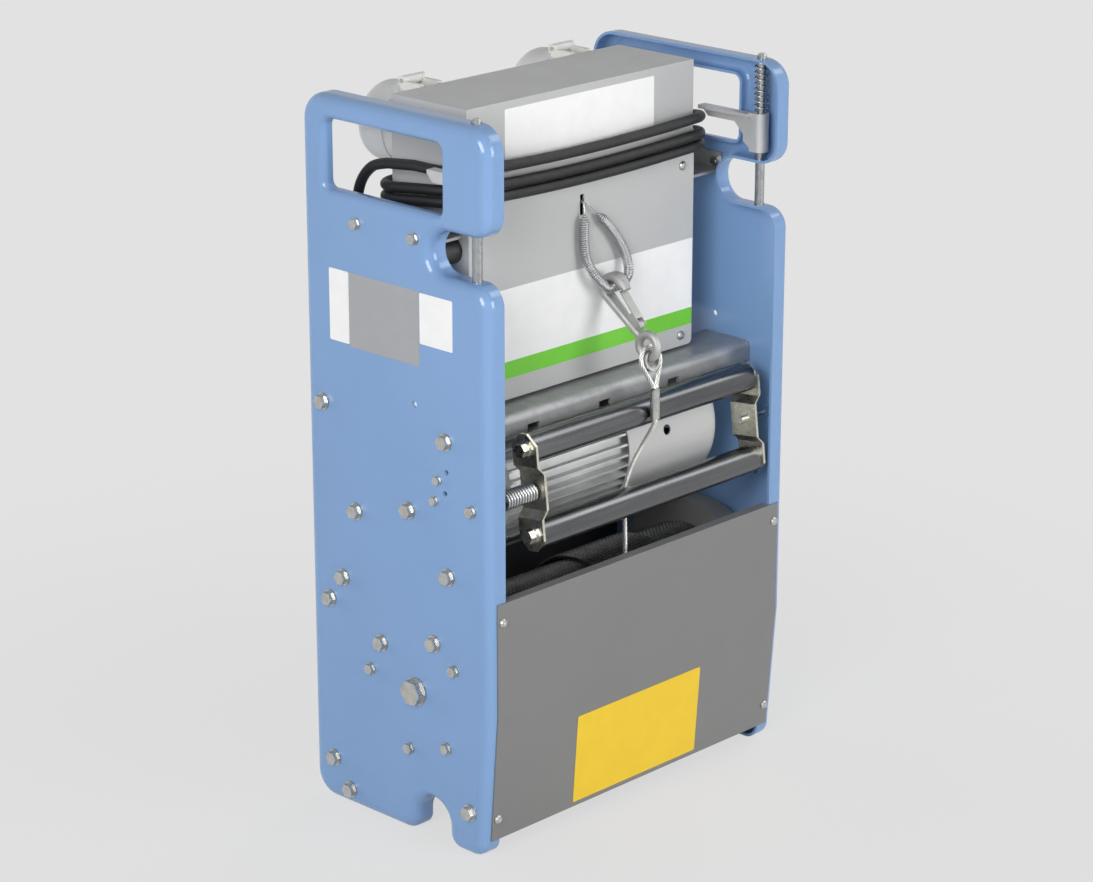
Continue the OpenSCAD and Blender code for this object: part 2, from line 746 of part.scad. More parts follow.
// Front cover, bent along the plates' front edges, with a folded lip at its top
lip_d = 10;
module front_cover() {
    low = front_edge(cover_low);
    top = front_edge(cover_top);
    slant_t = cover_t / cos(kink_lean);
    bend = cover_t * tan(kink_lean / 2);
    lip_half = half_w - rim_w - cut;
    color("gray") difference() {
        union() {
            translate([-cover_w / 2, 0, 0]) along_x() linear_extrude(cover_w) polygon([
                [top, cover_top], [top - cover_t, cover_top], [top - cover_t, kink_z - bend],
                [low - slant_t, cover_low], [low, cover_low], [top, kink_z]
            ]);
            block([-lip_half, top - cover_t / 2, cover_top - cover_t], [lip_half, top + lip_d, cover_top]);
        }
        both_sides() for (z = cover_screw_z)
            cover_screw_place(cover_screw_x, z) translate([0, 0, -cut])
                cylinder(d = cover_screw_d + hole_gap, h = cover_t + 2 * cut);
    }
}
module pan_head(r, h) {
    rotate_extrude() polygon([[0, 0], [r, 0], [r, 0.4 * h], [0.75 * r, 0.86 * h], [0, h]]);
}
module cover_screw(l) {
    translate([0, 0, -l]) cylinder(d = cover_screw_d, h = l + cut / 2);
    pan_head(4.8, 3.4);
}
module cover_screws() {
    color("silver") both_sides() for (z = cover_screw_z) cover_screw_place(cover_screw_x, z)
        translate([0, 0, cover_t]) cover_screw(cover_screw_l);
}
module back_screws() {
    color("silver") for (x = back_screw_x) back_screw_place(x) cover_screw(back_screw_l);
}

// Control box: folded housing, open at the front below its upper band
window_in = 12;
box_screw_d = 5;
box_screw_z = [box_z + 12, front_plate_top - 39];
gland_y = -25;
gland_r = 13;
module box_housing() {
    color("lightgray") difference() {
        block([-box_w / 2, box_y, box_z], [box_w / 2, back_y, box_top]);
        block([-box_w / 2 + box_t, box_y + box_t, box_z + box_t],
              [box_w / 2 - box_t, back_y - box_t, box_top - box_t]);
        block([-box_w / 2 + 2 * window_in + box_t, box_y - cut, box_z + 2 * window_in],
              [box_w / 2 - 2 * window_in - box_t, box_y + box_t + cut, front_plate_top - window_in]);
        rod_x(-box_w / 2 - cut, -box_w / 2 + box_t + cut, gland_y, lead_start_z, gland_r - 4);
        for (s = [-1, 1])
            translate([s * socket_x, back_y + cut, socket_z]) rotate([90, 0, 0])
                cylinder(r = socket_r + 1, h = box_t + 2 * cut);
        for (s = [-1, 1]) for (z = box_screw_z)
            translate([s * box_screw_x, box_y + box_t + cut, z]) rotate([90, 0, 0])
                cylinder(d = box_screw_d + hole_gap, h = box_t + 2 * cut);
    }
}
module box_front_plate() {
    r = 5;
    color("silver") difference() {
        translate([0, box_y, 0]) rotate([90, 0, 0]) linear_extrude(box_t) union() {
            translate([-box_w / 2, box_z + r]) square([box_w, front_plate_h - 2 * r]);
            translate([-box_w / 2 + r, box_z]) square([box_w - 2 * r, front_plate_h]);
            for (s = [-1, 1]) for (z = [box_z + r, front_plate_top - r])
                translate([s * (box_w / 2 - r), z]) circle(r = r);
        }
        block([slot_x - slot_w / 2, front_y - cut, slot_z - slot_h / 2],
              [slot_x + slot_w / 2, box_y + cut, slot_z + slot_h / 2]);
        for (s = [-1, 1]) for (z = box_screw_z)
            translate([s * box_screw_x, box_y + cut, z]) rotate([90, 0, 0])
                cylinder(d = box_screw_d + hole_gap, h = box_t + 2 * cut);
    }
}
module box_screws() {
    l = 8;
    color("silver") for (s = [-1, 1]) for (z = box_screw_z)
        translate([s * box_screw_x, front_y, z]) rotate([90, 0, 0]) {
            translate([0, 0, -l]) cylinder(d = box_screw_d, h = l + cut / 2);
            pan_head(5, 3.6);
        }
}

// U-shaped brackets from the box to the plates
bracket_low = bracket_bolt_z - bracket_h / 2;
bracket_y = [upper_slot_y + slot_r + bend_r + gap, back_y - 4];
module box_brackets() {
    color("silver") both_sides() difference() {
        block([-inner_x, bracket_y[0], bracket_low], [-box_w / 2, bracket_y[1], bracket_low + bracket_h]);
        block([-inner_x + sheet_t, bracket_y[0] - cut, bracket_low + sheet_t],
              [-box_w / 2 - sheet_t, bracket_y[1] + cut, bracket_low + bracket_h + cut]);
        for (y = bracket_bolt_y)
            rod_x(-inner_x - cut, -inner_x + sheet_t + cut, y, bracket_bolt_z, m6_hole_r);
    }
}

// Switchgear on a rail at the back of the box
rail_z = 560;
rail_h = 35;
rail_d = 7.5;
rail_half = box_w / 2 - 46;
rail_front = back_y - box_t - rail_d;
contactor_w = 44;
contactor_step = 50;
contactor_x = [for (k = [0 : 2]) -rail_half + 45 + contactor_step * k];
contactor_d = 60;
contactor_over = 20;
button_w = 30;
button_d = 10;
module contactor_rail() {
    groove = [1.5, 3];
    color("silver") difference() {
        block([-rail_half, rail_front, rail_z], [rail_half, back_y - box_t, rail_z + rail_h]);
        block([-rail_half - cut, rail_front + groove[0], rail_z - cut],
              [rail_half + cut, rail_front + groove[1], rail_z + 4]);
    }
}
module contactors() {
    color("dimgray") for (x = contactor_x) {
        block([x - contactor_w / 2, rail_front - contactor_d, rail_z - contactor_over],
              [x + contactor_w / 2, rail_front, rail_z + rail_h + contactor_over]);
        block([x - button_w / 2, rail_front - contactor_d - button_d, rail_z],
              [x + button_w / 2, rail_front - contactor_d, rail_z + rail_h]);
    }
}

// Panel sockets behind the box, with domed lids hinged at the top
socket_flange = 60;
ear_x = [10, 15];
knuckle_r = 5;
module socket_bodies() {
    color("whitesmoke") for (s = [-1, 1]) translate([s * socket_x, 0, 0]) difference() {
        union() {
            block([-socket_flange / 2, back_y, socket_z - socket_flange / 2],
                  [socket_flange / 2, back_y + 4, socket_z + socket_flange / 2]);
            translate([0, back_y + 1, socket_z]) rotate([-90, 0, 0]) cylinder(r = collar_r, h = socket_l - 1);
            both_sides() {
                block([ear_x[0], back_y + 2, socket_z + socket_r + 2],
                      [ear_x[1], lid_y - gap, lid_pin_z]);
                rod_x(ear_x[0], ear_x[1], lid_pin_y, lid_pin_z, knuckle_r);
            }
        }
        translate([0, back_y + 8, socket_z]) rotate([-90, 0, 0]) cylinder(r = socket_r, h = socket_l);
        rod_x(-ear_x[1] - cut, ear_x[1] + cut, lid_pin_y, lid_pin_z, lid_pin_d / 2 + run_gap);
    }
}
module socket_lid() {
    edge = 16;
    wall = [
        [lid_r - lid_t, 0], [lid_r, 0], [lid_r, lid_l - edge],
        for (k = [1 : 6]) around([lid_r - edge, lid_l - edge], edge, 15 * k),
        [0, lid_l], [0, lid_l - lid_t],
        for (k = [0 : 6]) around([lid_r - edge, lid_l - edge], edge - lid_t, 90 - 15 * k)
    ];
    difference() {
        union() {
            translate([0, lid_y, socket_z]) rotate([-90, 0, 0]) rotate_extrude() polygon(wall);
            rod_x(-ear_x[0] + gap, ear_x[0] - gap, lid_pin_y, lid_pin_z, knuckle_r);
            block([-ear_x[0] + gap, lid_y, socket_z + lid_r - 2],
                  [ear_x[0] - gap, lid_y + 8, lid_pin_z + 2]);
        }
        rod_x(-ear_x[1], ear_x[1], lid_pin_y, lid_pin_z, lid_pin_d / 2 + run_gap);
    }
}
module left_socket_lid() {
    color("white") translate([-socket_x, 0, 0]) socket_lid();
}
module right_socket_lid() {
    color("white") translate([socket_x, 0, 0]) socket_lid();
}
module lid_hinge_pins() {
    color("silver") for (s = [-1, 1]) translate([s * socket_x, 0, 0])
        rod_x(-ear_x[1] - 2, ear_x[1] + 2, lid_pin_y, lid_pin_z, lid_pin_d / 2);
}

// Lead: elbow gland, turns round the box, tail with its plug
gland_x = -lead_x;
gland_tip = 12;
module cable_gland() {
    color("dimgray") union() {
        rod_x(gland_x - gland_r + 2, -box_w / 2, gland_y, lead_start_z, gland_r);
        rod_x(-box_w / 2 - cut, -box_w / 2 + box_t + 4, gland_y, lead_start_z, gland_r - 4.5);
        translate([gland_x, gland_y, lead_start_z]) rotate([-90, 0, 0])
            cylinder(r = 10, h = lead_mid_y - gland_y - gland_tip);
        translate([gland_x, lead_mid_y - gland_tip, lead_start_z]) rotate([-90, 0, 0])
            rotate_extrude() polygon([[0, -cut], [9.5, -cut], [9.5, 0], [7, gland_tip], [0, gland_tip]]);
    }
}

// Place on a turn seen from above: 0 at the back, a quarter at the right side, half at the front
lead_arc = lead_bend * PI / 2;
lead_run_x = 2 * (lead_x - lead_bend);
lead_run_y = lead_back - lead_front - 2 * lead_bend;
lead_round = 2 * lead_run_x + 2 * lead_run_y + 4 * lead_arc;
function bend_at(c, a) = c + lead_bend * [sin(a), cos(a)];
function turn_quarter(s) =
    s < lead_run_x / 2 ? [s, lead_back]
    : s < lead_run_x / 2 + lead_arc
        ? bend_at([lead_run_x / 2, lead_back - lead_bend], 90 * (s - lead_run_x / 2) / lead_arc)
        : [lead_x, lead_back - lead_bend - (s - lead_run_x / 2 - lead_arc)];
function turn_half(s) =
    s <= lead_round / 4 ? turn_quarter(s)
    : let (q = turn_quarter(lead_round / 2 - s)) [q[0], 2 * lead_mid_y - q[1]];
function turn_at(t) =
    let (u = t - floor(t), q = turn_half(lead_round * min(u, 1 - u))) [u <= 0.5 ? q[0] : -q[0], q[1]];
// Places along a quarter turn that carry a ring, and the place of ring i of the whole winding
lead_quarter = lead_round / 4;
lead_marks = [
    0, lead_run_x / 4, lead_run_x / 2, lead_run_x / 2 + lead_arc / 3, lead_run_x / 2 + lead_arc * 2 / 3,
    lead_run_x / 2 + lead_arc, lead_quarter
];
function lead_place(i) =
    let (q = floor(i / lead_steps), k = i - lead_steps * q)
    q % 2 == 0 ? q * lead_quarter + lead_marks[k] : (q + 1) * lead_quarter - lead_marks[lead_steps - k];
// Height at a place: low at the back, high at the front, with a slight sag along the front
lead_turns = len(lead_fore) - 0.5;
lead_flat = socket_x + 15;
lead_climb = 2 * lead_quarter - lead_run_x / 2 - lead_flat;
function turn_height(s) =
    let (half = 2 * lead_quarter, k = floor(s / half), j = floor(k / 2), up = k % 2 == 0,
         from_back = up ? s - k * half : (k + 1) * half - s,
         back = lead_rear[up ? j : j + 1],
         rise = half_wave(min(1, max(0, from_back - lead_flat) / lead_climb)))
    mix(back, lead_fore[j], rise);
function lead_height(s) =
    s < 0 ? mix(lead_start_z, lead_rear[0], half_wave(max(0, 1 + s / (lead_run_x / 2 - 20))))
    : s < lead_turns * lead_round ? turn_height(s)
    : let (past = s - lead_turns * lead_round - lead_run_x / 2)
      mix(lead_fore[len(lead_fore) - 1], lead_tail[0][2] + 4,
          half_wave(max(0, past / (lead_quarter - lead_run_x / 2))));
function front_share(q) = q[1] > lead_front + 0.1 ? 0 : 1 - pow(q[0] / (lead_run_x / 2), 2);
lead_path = concat(
    [for (i = [-lead_steps : 4 * lead_steps * lead_turns + lead_steps])
        let (s = lead_place(i), q = turn_at(s / lead_round), f = front_share(q))
        [q[0], q[1] + lead_bow * f, lead_height(s) - lead_sag * f]],
    [for (i = [0 : (len(lead_tail) - 1) * 2]) curve_at(lead_tail, i / 2)]
);
module power_lead() {
    color([0.1, 0.1, 0.1]) tube(lead_path, lead_d, 6);
}
module power_plug() {
    color([0.15, 0.15, 0.15]) translate(plug_at) mirror([0, 0, 1]) union() {
        rotate_extrude() polygon([[0, 0], [8, 0], [9, 14], [17, 22], [19, 26], [19, 50], [17, 52], [0, 52]]);
        for (s = [-1, 1]) translate([s * 9.5, 0, 51]) cylinder(d = 4.8, h = 20);
    }
}

// Rail latches
module latch_rod() {
    translate([-half_w + rod_in, rod_y, 0]) {
        translate([0, 0, rod_low]) cylinder(r1 = rod_d / 2 - 1.5, r2 = rod_d / 2, h = 2);
        translate([0, 0, rod_low + 2]) cylinder(d = rod_d, h = frame_h + rod_top - rod_low - 4);
        translate([0, 0, frame_h + rod_top - 2]) cylinder(r1 = rod_d / 2, r2 = rod_d / 2 - 1.5, h = 2);
    }
}
module latch_lever() {
    w = 17;
    arm_h = 12;
    arm_t = 4;
    flange = 7;
    web_low = 3;
    web_y = 17;
    difference() {
        translate([-half_w + rod_in, rod_y, latch_z]) union() {
            linear_extrude(latch_h) union() {
                translate([-w / 2, 0]) square([w, w / 2]);
                circle(d = w);
            }
            translate([w / 2 - arm_t, 0, 0]) along_x() linear_extrude(arm_t) polygon([
                [w / 2 - 1, web_low], [web_y, web_low + 7], [web_y, latch_h - 2 * arm_h],
                [web_y + arm_h, latch_h - arm_h], [lever_l - 2 * arm_t, latch_h - arm_h],
                [lever_l, latch_h - arm_t], [lever_l, latch_h], [w / 2 - 1, latch_h]
            ]);
            block([w / 2 - arm_t, w / 2 - 1, latch_h - arm_t], [w / 2 + flange, lever_l, latch_h]);
        }
        translate([-half_w + rod_in, rod_y, latch_z - cut])
            cylinder(d = rod_d + run_gap * 2, h = latch_h + 2 * cut);
    }
}
latch_spring_r = (latch_spring_d - latch_wire) / 2;
latch_spring_l = ear_top - latch_z - latch_h - 2 * gap - latch_wire;
latch_spring_pitch = latch_spring_l / latch_spring_turns;
latch_spring_path = helix(latch_spring_r, latch_spring_pitch, latch_spring_turns, 6, latch_wire);
module latch_spring() {
    translate([-half_w + rod_in, rod_y, latch_z + latch_h + gap + latch_wire / 2])
        tube(latch_spring_path, latch_wire, 5);
}
module left_latch_rod() { color("silver") latch_rod(); }
module right_latch_rod() { color("silver") mirror([1, 0, 0]) latch_rod(); }
module left_latch_lever() { color("gray") latch_lever(); }
module right_latch_lever() { color("gray") mirror([1, 0, 0]) latch_lever(); }
module left_latch_spring() { color("silver") latch_spring(); }
module right_latch_spring() { color("silver") mirror([1, 0, 0]) latch_spring(); }

// Rope guide: a frame of two tubes and two joggled brackets that swings on two pivot bolts
module guide_frame() {
    translate([0, guide_y, guide_z]) rotate([-guide_tilt, 0, 0]) children();
}
guide_plug = 20;
guide_tube_z = [-guide_span / 2, guide_span / 2];
module guide_tubes() {
    color("slategray") guide_frame() for (z = guide_tube_z) difference() {
        rod_x(guide_x0, guide_x1, 0, z, guide_tube_d / 2);
        rod_x(guide_x0 - cut, guide_x1 + cut, 0, z, M8[0] / 2 + run_gap);
        rod_x(guide_x0 + guide_plug, guide_x1 - guide_plug, 0, z, guide_tube_d / 2 - guide_tube_t);
    }
}
// Bracket drawn for the left end: flat ends outside the tubes, middle set in towards the tubes
module guide_bracket() {
    half = guide_span / 2 + guide_bracket_w / 2 - 1;
    slope = guide_joggle;
    mid = guide_span / 2 - guide_tube_d / 2 - slope - 4;
    step = 0.4 * guide_t;
    difference() {
        translate([0, guide_bracket_w / 2, 0]) rotate([90, 0, 0]) linear_extrude(guide_bracket_w) polygon([
            [-guide_t, -half], [0, -half], [0, -mid - slope], [guide_joggle, -mid], [guide_joggle, mid],
            [0, mid + slope], [0, half], [-guide_t, half], [-guide_t, mid + slope + step],
            [guide_joggle - guide_t, mid + step], [guide_joggle - guide_t, -mid - step],
            [-guide_t, -mid - slope - step]
        ]);
        for (y = [-guide_bracket_w / 2, guide_bracket_w / 2]) for (z = [-half, half])
            translate([0, y, z]) rotate([45, 0, 0])
                cube([4 * guide_t, guide_bevel * sqrt(2), guide_bevel * sqrt(2)], center = true);
        for (z = guide_tube_z) rod_x(-guide_t - cut, cut, 0, z, m8_hole_r);
        rod_x(guide_joggle - guide_t - cut, guide_joggle + cut, 0, 0, pivot_d / 2 + run_gap);
    }
}
module left_guide_bracket() {
    color("darkkhaki") guide_frame() translate([guide_x0, 0, 0]) guide_bracket();
}
module right_guide_bracket() {
    color("darkkhaki") guide_frame() translate([guide_x1, 0, 0]) mirror([1, 0, 0]) guide_bracket();
}
module guide_tube_bolts() {
    color("silver") guide_frame() for (z = guide_tube_z) {
        translate([guide_x0 - guide_t, 0, z]) bolt(M8, m8_grip);
        translate([guide_x1 + guide_t, 0, z]) mirror([1, 0, 0]) bolt(M8, m8_grip);
    }
}
pivot_bolt = [pivot_d, M6[1], M6[2], M6[3], M6[4]];
pivot_past = 6;
module guide_pivot_bolts() {
    color("silver") {
        translate([-half_w, guide_y, guide_z]) bolt(pivot_bolt, guide_left + guide_joggle + pivot_past);
        mirror([1, 0, 0]) translate([-half_w, guide_y, guide_z])
            bolt(pivot_bolt, guide_right + guide_joggle + pivot_past);
    }
}
pivot_spring_r = (pivot_spring_d - pivot_spring_wire) / 2;
pivot_spring_l = pivot_spring_pitch * pivot_spring_turns;
pivot_spring_path = helix(pivot_spring_r, pivot_spring_pitch, pivot_spring_turns, 6, pivot_spring_wire);
module guide_pivot_spring() {
    x = guide_x0 + guide_joggle - guide_t - gap - pivot_spring_wire / 2 - pivot_spring_l;
    color("lightgray") translate([x, guide_y, guide_z]) along_x()
        tube(pivot_spring_path, pivot_spring_wire, 5);
}
module limit_switch() {
    color("darkslategray") difference() {
        union() {
            block([-inner_x, -72, 364], [-inner_x + 26, -51.5, 406]);
            rod_x(-inner_x + 8, -inner_x + 14, -76, 385, 5);
            block([-inner_x + 8, -78, 384], [-inner_x + 14, -70, 386]);
        }
        for (p = switch_places) rod_x(-inner_x - cut, -inner_x + 14, p[0], p[1], M5[0] / 2 + run_gap);
    }
}

// Gears: straight-flanked teeth with one tooth at the angle phase
function gear_outline(m, z, phase) = [
    for (k = [0 : z - 1])
        let (p = 360 / z, a = phase + k * p, root = m * (z / 2 - 1.2), tip = m * (z / 2 + 0.85))
        each [for (q = [[root, -0.32], [tip, -0.11], [tip, 0.11], [root, 0.32]])
            q[0] * [cos(a + q[1] * p), sin(a + q[1] * p)]]
];
module gear_x(x0, x1, y, z, m, teeth, phase) {
    translate([x0, y, z]) along_x() linear_extrude(x1 - x0) polygon(gear_outline(m, teeth, phase));
}

// Motor on the gearbox, with its fan under the cowl
module motor_housing() {
    end = motor_end;
    color("silver") difference() {
        union() {
            rod_x(gearbox_x, motor_x0 + 6, motor_y, motor_z, motor_neck_r);
            rod_x(motor_x0, motor_x0 + 8, motor_y, motor_z, motor_r);
            rod_x(motor_x0, end, motor_y, motor_z, motor_r - fin_h);
            translate([motor_x0 + 4, motor_y, motor_z]) for (k = [0 : fin_count - 1])
                rotate([360 * k / fin_count, 0, 0])
                    block([0, motor_r - fin_h - 2, -fin_t / 2], [end - motor_x0 - 8, motor_r, fin_t / 2]);
        }
        rod_x(motor_x0 + 8, end - bearing_w, motor_y, motor_z, motor_bore_r);
        rod_x(motor_x0 + 8, end + cut, motor_y, motor_z, bearing_od / 2 + run_gap);
        rod_x(gearbox_x - cut, motor_x0 + 8 + cut, motor_y, motor_z, bearing_od / 2 + run_gap);
    }
}
module motor_fan_cowl() {
    l = cowl_x1 - cowl_x0;
    r = motor_r + gap + cowl_t;
    eye = 20;
    wall = [
        [r - cowl_t, 0], [r, 0], [r, l - cowl_edge],
        for (k = [1 : 6]) around([r - cowl_edge, l - cowl_edge], cowl_edge, 15 * k),
        [eye, l], [eye, l - cowl_t],
        for (k = [0 : 6]) around([r - cowl_edge, l - cowl_edge], cowl_edge - cowl_t, 90 - 15 * k)
    ];
    color("white") difference() {
        translate([cowl_x0, motor_y, motor_z]) along_x() rotate_extrude() polygon(wall);
        translate([cowl_x0 + 59, motor_y - r, motor_z + 14]) rotate([90, 0, 0])
            cylinder(d = 11, h = 40, center = true);
        for (k = [0 : 11]) {
            p = around([motor_y, motor_z], 40, 30 * k);
            rod_x(cowl_x1 - 2 * cowl_t, cowl_x1 + cut, p[0], p[1], 6);
        }
    }
}
module rotor_shaft() {
    color("darkgray") union() {
        rod_x(stage_x - 1, motor_x0 + 12, motor_y, motor_z, motor_shaft_d / 2 - 4);
        rod_x(gearbox_x - gearbox_wall, cowl_x0 + 92, motor_y, motor_z, motor_shaft_d / 2 - 2);
        rod_x(motor_x0 + 20, cowl_x0 + 10, motor_y, motor_z, rotor_r);
        gear_x(stage_x - 1, stage_x + stage_w + 1, motor_y, motor_z, stage_module, motor_teeth,
               motor_angle + 180 + 180 / motor_teeth);
    }
}
module cooling_fan() {
    x = cowl_x0 + 62;
    blades = 7;
    color("dimgray") difference() {
        union() {
            rod_x(x, x + 26, motor_y, motor_z, 20);
            for (k = [0 : blades - 1]) translate([x, motor_y, motor_z]) rotate([360 * k / blades, 0, 0])
                block([0, 18, -1.5], [24, motor_r - 10, 1.5]);
        }
        rod_x(x - cut, x + 30, motor_y, motor_z, motor_shaft_d / 2 - 2 + run_gap);
    }
}

// Gearbox: cover bolted to the left plate, housing with the first stage in it
module gearbox_shape(x0, x1) {
    rod_x(x0, x1, gear_y, gear_z, gearbox_r);
    rod_x(x0, x1, motor_y, motor_z, gearbox_neck_r);
}
module gearbox_cover() {
    color("dimgray") difference() {
        gearbox_shape(-inner_x, cover_x);
        for (k = [0 : 5]) {
            p = gear_bolt(k);
            rod_x(-inner_x - cut, cover_x - 1.5, p[0], p[1], M8[0] / 2 + run_gap);
        }
        rod_x(cover_x - bearing_w, cover_x + cut, gear_y, gear_z, bearing_od / 2 + run_gap);
        rod_x(cover_x - bearing_w - 2, cover_x, gear_y, gear_z, pinion_shaft_d / 2 + cut);
    }
}
module gearbox_housing() {
    color("dimgray") difference() {
        gearbox_shape(cover_x, gearbox_x);
        rod_x(cover_x - cut, gearbox_x - gearbox_wall, gear_y, gear_z, stage_room_r);
        rod_x(cover_x - cut, gearbox_x - gearbox_wall, motor_y, motor_z, 24);
        rod_x(cover_x, gearbox_x + cut, gear_y, gear_z, bearing_od / 2 + run_gap);
        rod_x(cover_x, gearbox_x + cut, motor_y, motor_z, motor_shaft_d / 2);
    }
}
module stage_wheel() {
    r = stage_module * stage_teeth / 2;
    color("gray") difference() {
        gear_x(stage_x, stage_x + stage_w, gear_y, gear_z, stage_module, stage_teeth, motor_angle);
        rod_x(stage_x - cut, stage_x + stage_w + cut, gear_y, gear_z, pinion_shaft_d / 2 + run_gap);
        for (k = [0 : 4]) {
            p = around([gear_y, gear_z], 0.56 * r, 72 * k);
            rod_x(stage_x - cut, stage_x + stage_w + cut, p[0], p[1], 0.2 * r);
        }
    }
}
module pinion_shaft() {
    color("darkgray") union() {
        rod_x(cover_x - bearing_w - 1, drum_x0 - flange_t - 2, gear_y, gear_z, pinion_shaft_d / 2);
        gear_x(drum_gear_x - 1, drum_x0 - flange_t + 1 - 2, gear_y, gear_z, drum_module, pinion_teeth,
               pinion_angle + 180 + 180 / pinion_teeth);
    }
}
module bearing(x0, w, y, z, ro, ri) {
    ring_x(x0, x0 + w, y, z, ro, ri + run_gap);
}
module shaft_bearings() {
    color("silver") {
        bearing(cover_x - bearing_w, bearing_w, gear_y, gear_z, bearing_od / 2, pinion_shaft_d / 2);
        bearing(gearbox_x - gearbox_wall, bearing_w, gear_y, gear_z, bearing_od / 2, pinion_shaft_d / 2);
        bearing(motor_x0 - 6, 12, motor_y, motor_z, bearing_od / 2, motor_shaft_d / 2 - 2);
        bearing(motor_end - bearing_w, bearing_w, motor_y, motor_z, bearing_od / 2, motor_shaft_d / 2 - 2);
    }
}

// Drum on its dead axle
hub_r = 34;
drum_bearing_r = 26;
drum_bearing_w = 16;
module drum_end(x0, x1) {
    ring_x(x0, x1, drum_y, drum_z, flange_r, drum_bearing_r);
}
module drum() {
    color("dimgray") union() {
        drum_end(drum_x0 - flange_t, drum_x0);
        ring_x(drum_x0 - cut, drum_x1 + cut, drum_y, drum_z, barrel_r, barrel_r - barrel_t);
        drum_end(drum_x1, drum_x1 + flange_t);
        ring_x(drum_x1 + flange_t - cut, drum_x1 + flange_t + rim_l, drum_y, drum_z, flange_r, flange_r - 6);
        ring_x(drum_x0 - cut, drum_x0 + drum_bearing_w - flange_t, drum_y, drum_z, hub_r, drum_bearing_r);
        ring_x(drum_x1 - drum_bearing_w + flange_t, drum_x1 + cut, drum_y, drum_z, hub_r, drum_bearing_r);
    }
}
module drum_gear() {
    color("gray") difference() {
        gear_x(drum_gear_x, drum_gear_x + drum_gear_w, drum_y, drum_z, drum_module, drum_teeth, pinion_angle);
        rod_x(drum_gear_x - cut, drum_gear_x + drum_gear_w + cut, drum_y, drum_z, hub_r);
    }
}
module drum_bearings() {
    color("silver") for (x = [drum_x0 - flange_t, drum_x1 + flange_t - drum_bearing_w])
        bearing(x, drum_bearing_w, drum_y, drum_z, drum_bearing_r - run_gap, axle_d / 2);
}
axle_thread = 24;
module drum_axle() {
    color("silver") difference() {
        rod_x(-inner_x, inner_x, drum_y, drum_z, axle_d / 2);
        both_sides()
            rod_x(-inner_x - cut, -inner_x + axle_thread + cut, drum_y, drum_z, M16[0] / 2 + run_gap);
    }
}
axle_flange_r = 78;
axle_flange_t = 6;
module axle_flanges() {
    color("gray") both_sides() difference() {
        union() {
            rod_x(-inner_x, -inner_x + axle_flange_t, drum_y, drum_z, axle_flange_r);
            rod_x(-inner_x, -inner_x + 3 * axle_flange_t, drum_y, drum_z, axle_d / 2 + 8);
        }
        rod_x(-inner_x - cut, -inner_x + 4 * axle_flange_t, drum_y, drum_z, axle_d / 2 + run_gap);
        rod_x(-inner_x - cut, -inner_x + 4 * axle_flange_t, gear_y, gear_z, gearbox_r + cut);
        for (a = axle_flange_angles) {
            p = axle_flange_bolt(a);
            rod_x(-inner_x - cut, -inner_x + axle_flange_t + cut, p[0], p[1], M6[0] / 2 + run_gap);
        }
    }
}

// Rope: wound core, top layer, free run, eye with ferrule and thimble
module rope_core() {
    color([0.25, 0.24, 0.22])
        ring_x(drum_x0 + gap, drum_x1 - gap, drum_y, drum_z, core_r, barrel_r + gap);
}
wind_path = [
    for (p = helix(wind_r, rope_pitch, wind_turns, wind_rings, rope_d))
        let (c = cos(wind_end), s = sin(wind_end))
        [p[2] + wind_x, drum_y + p[0] * c - p[1] * s, drum_z + p[0] * s + p[1] * c]
];
module rope_winding() {
    color([0.25, 0.24, 0.22]) tube(wind_path, rope_d, wind_sides);
}
module rope_run() {
    color("silver") tube(curve(rope_points, 2), rope_d, 8);
}
module rope_ferrule() {
    color("silver") translate(ferrule_at) cylinder(d = ferrule_d, h = ferrule_l);
}
module eye_frame() {
    translate(eye_at) rotate([-eye_lean, 0, 0]) children();
}
eye_half = rope_d / 2 + 0.2;
eye_path = concat(
    [[-eye_half, 0, eye_rise], [-eye_half, 0, 4]],
    [for (k = [0 : 12]) let (a = 205 - 230 * k / 12) [eye_bend * cos(a), 0, eye_centre + eye_bend * sin(a)]],
    [[eye_half, 0, 4], [eye_half, 0, eye_rise]]
);
module rope_eye() {
    color("silver") eye_frame() tube(eye_path, rope_d, 8);
}
module rope_thimble() {
    w = 7;
    color("silver") eye_frame() translate([0, w / 2, eye_centre]) rotate([90, 0, 0]) difference() {
        cylinder(r = thimble_r, h = w);
        translate([0, 0, -cut]) cylinder(r = thimble_r - thimble_t, h = w + 2 * cut);
    }
}

// Load hook: across is to the front of the hook, up is along it from eye to bowl
module hook_frame() {
    translate(bowl_at) rotate([-hook_lean, 0, 0]) children();
}
hook_pivot = [-3.2, -46];
hook_pin_d = 4;
hook_pin_l = 11;
module bar_between(a, b, r1, r2) {
    d = b - a;
    translate(a) rotate([0, acos(d[2] / norm(d)), atan2(d[1], d[0])]) cylinder(r1 = r1, r2 = r2, h = norm(d));
}
module load_hook() {
    side = bowl_broad / 2;
    tip = [side / 2, -bowl_r, -9];
    neck = [0, 3, -hook_l + eye_r];
    stock = [
        for (k = [0 : 6]) around([bowl_r, side], bowl_stock, 30 * k),
        for (k = [6 : 12]) around([bowl_r, -side], bowl_stock, 30 * k)
    ];
    color("silver") hook_frame() union() {
        along_x() rotate_extrude(angle = 180) polygon(stock);
        both_sides() {
            bar_between([side, -bowl_r, 1], tip, bowl_stock - 0.3, bowl_stock - 1.4);
            bar_between([side, bowl_r, 1], neck, bowl_stock - 0.3, eye_stock - 0.4);
        }
        translate([0, 0, -hook_l]) along_x() rotate_extrude() translate([eye_r, 0]) circle(r = eye_stock);
        rod_x(-hook_pin_l / 2, hook_pin_l / 2, hook_pivot[0], hook_pivot[1], hook_pin_d / 2);
        rod_x(-3.6, 3.6, hook_pivot[0], hook_pivot[1], 4.8);
    }
}
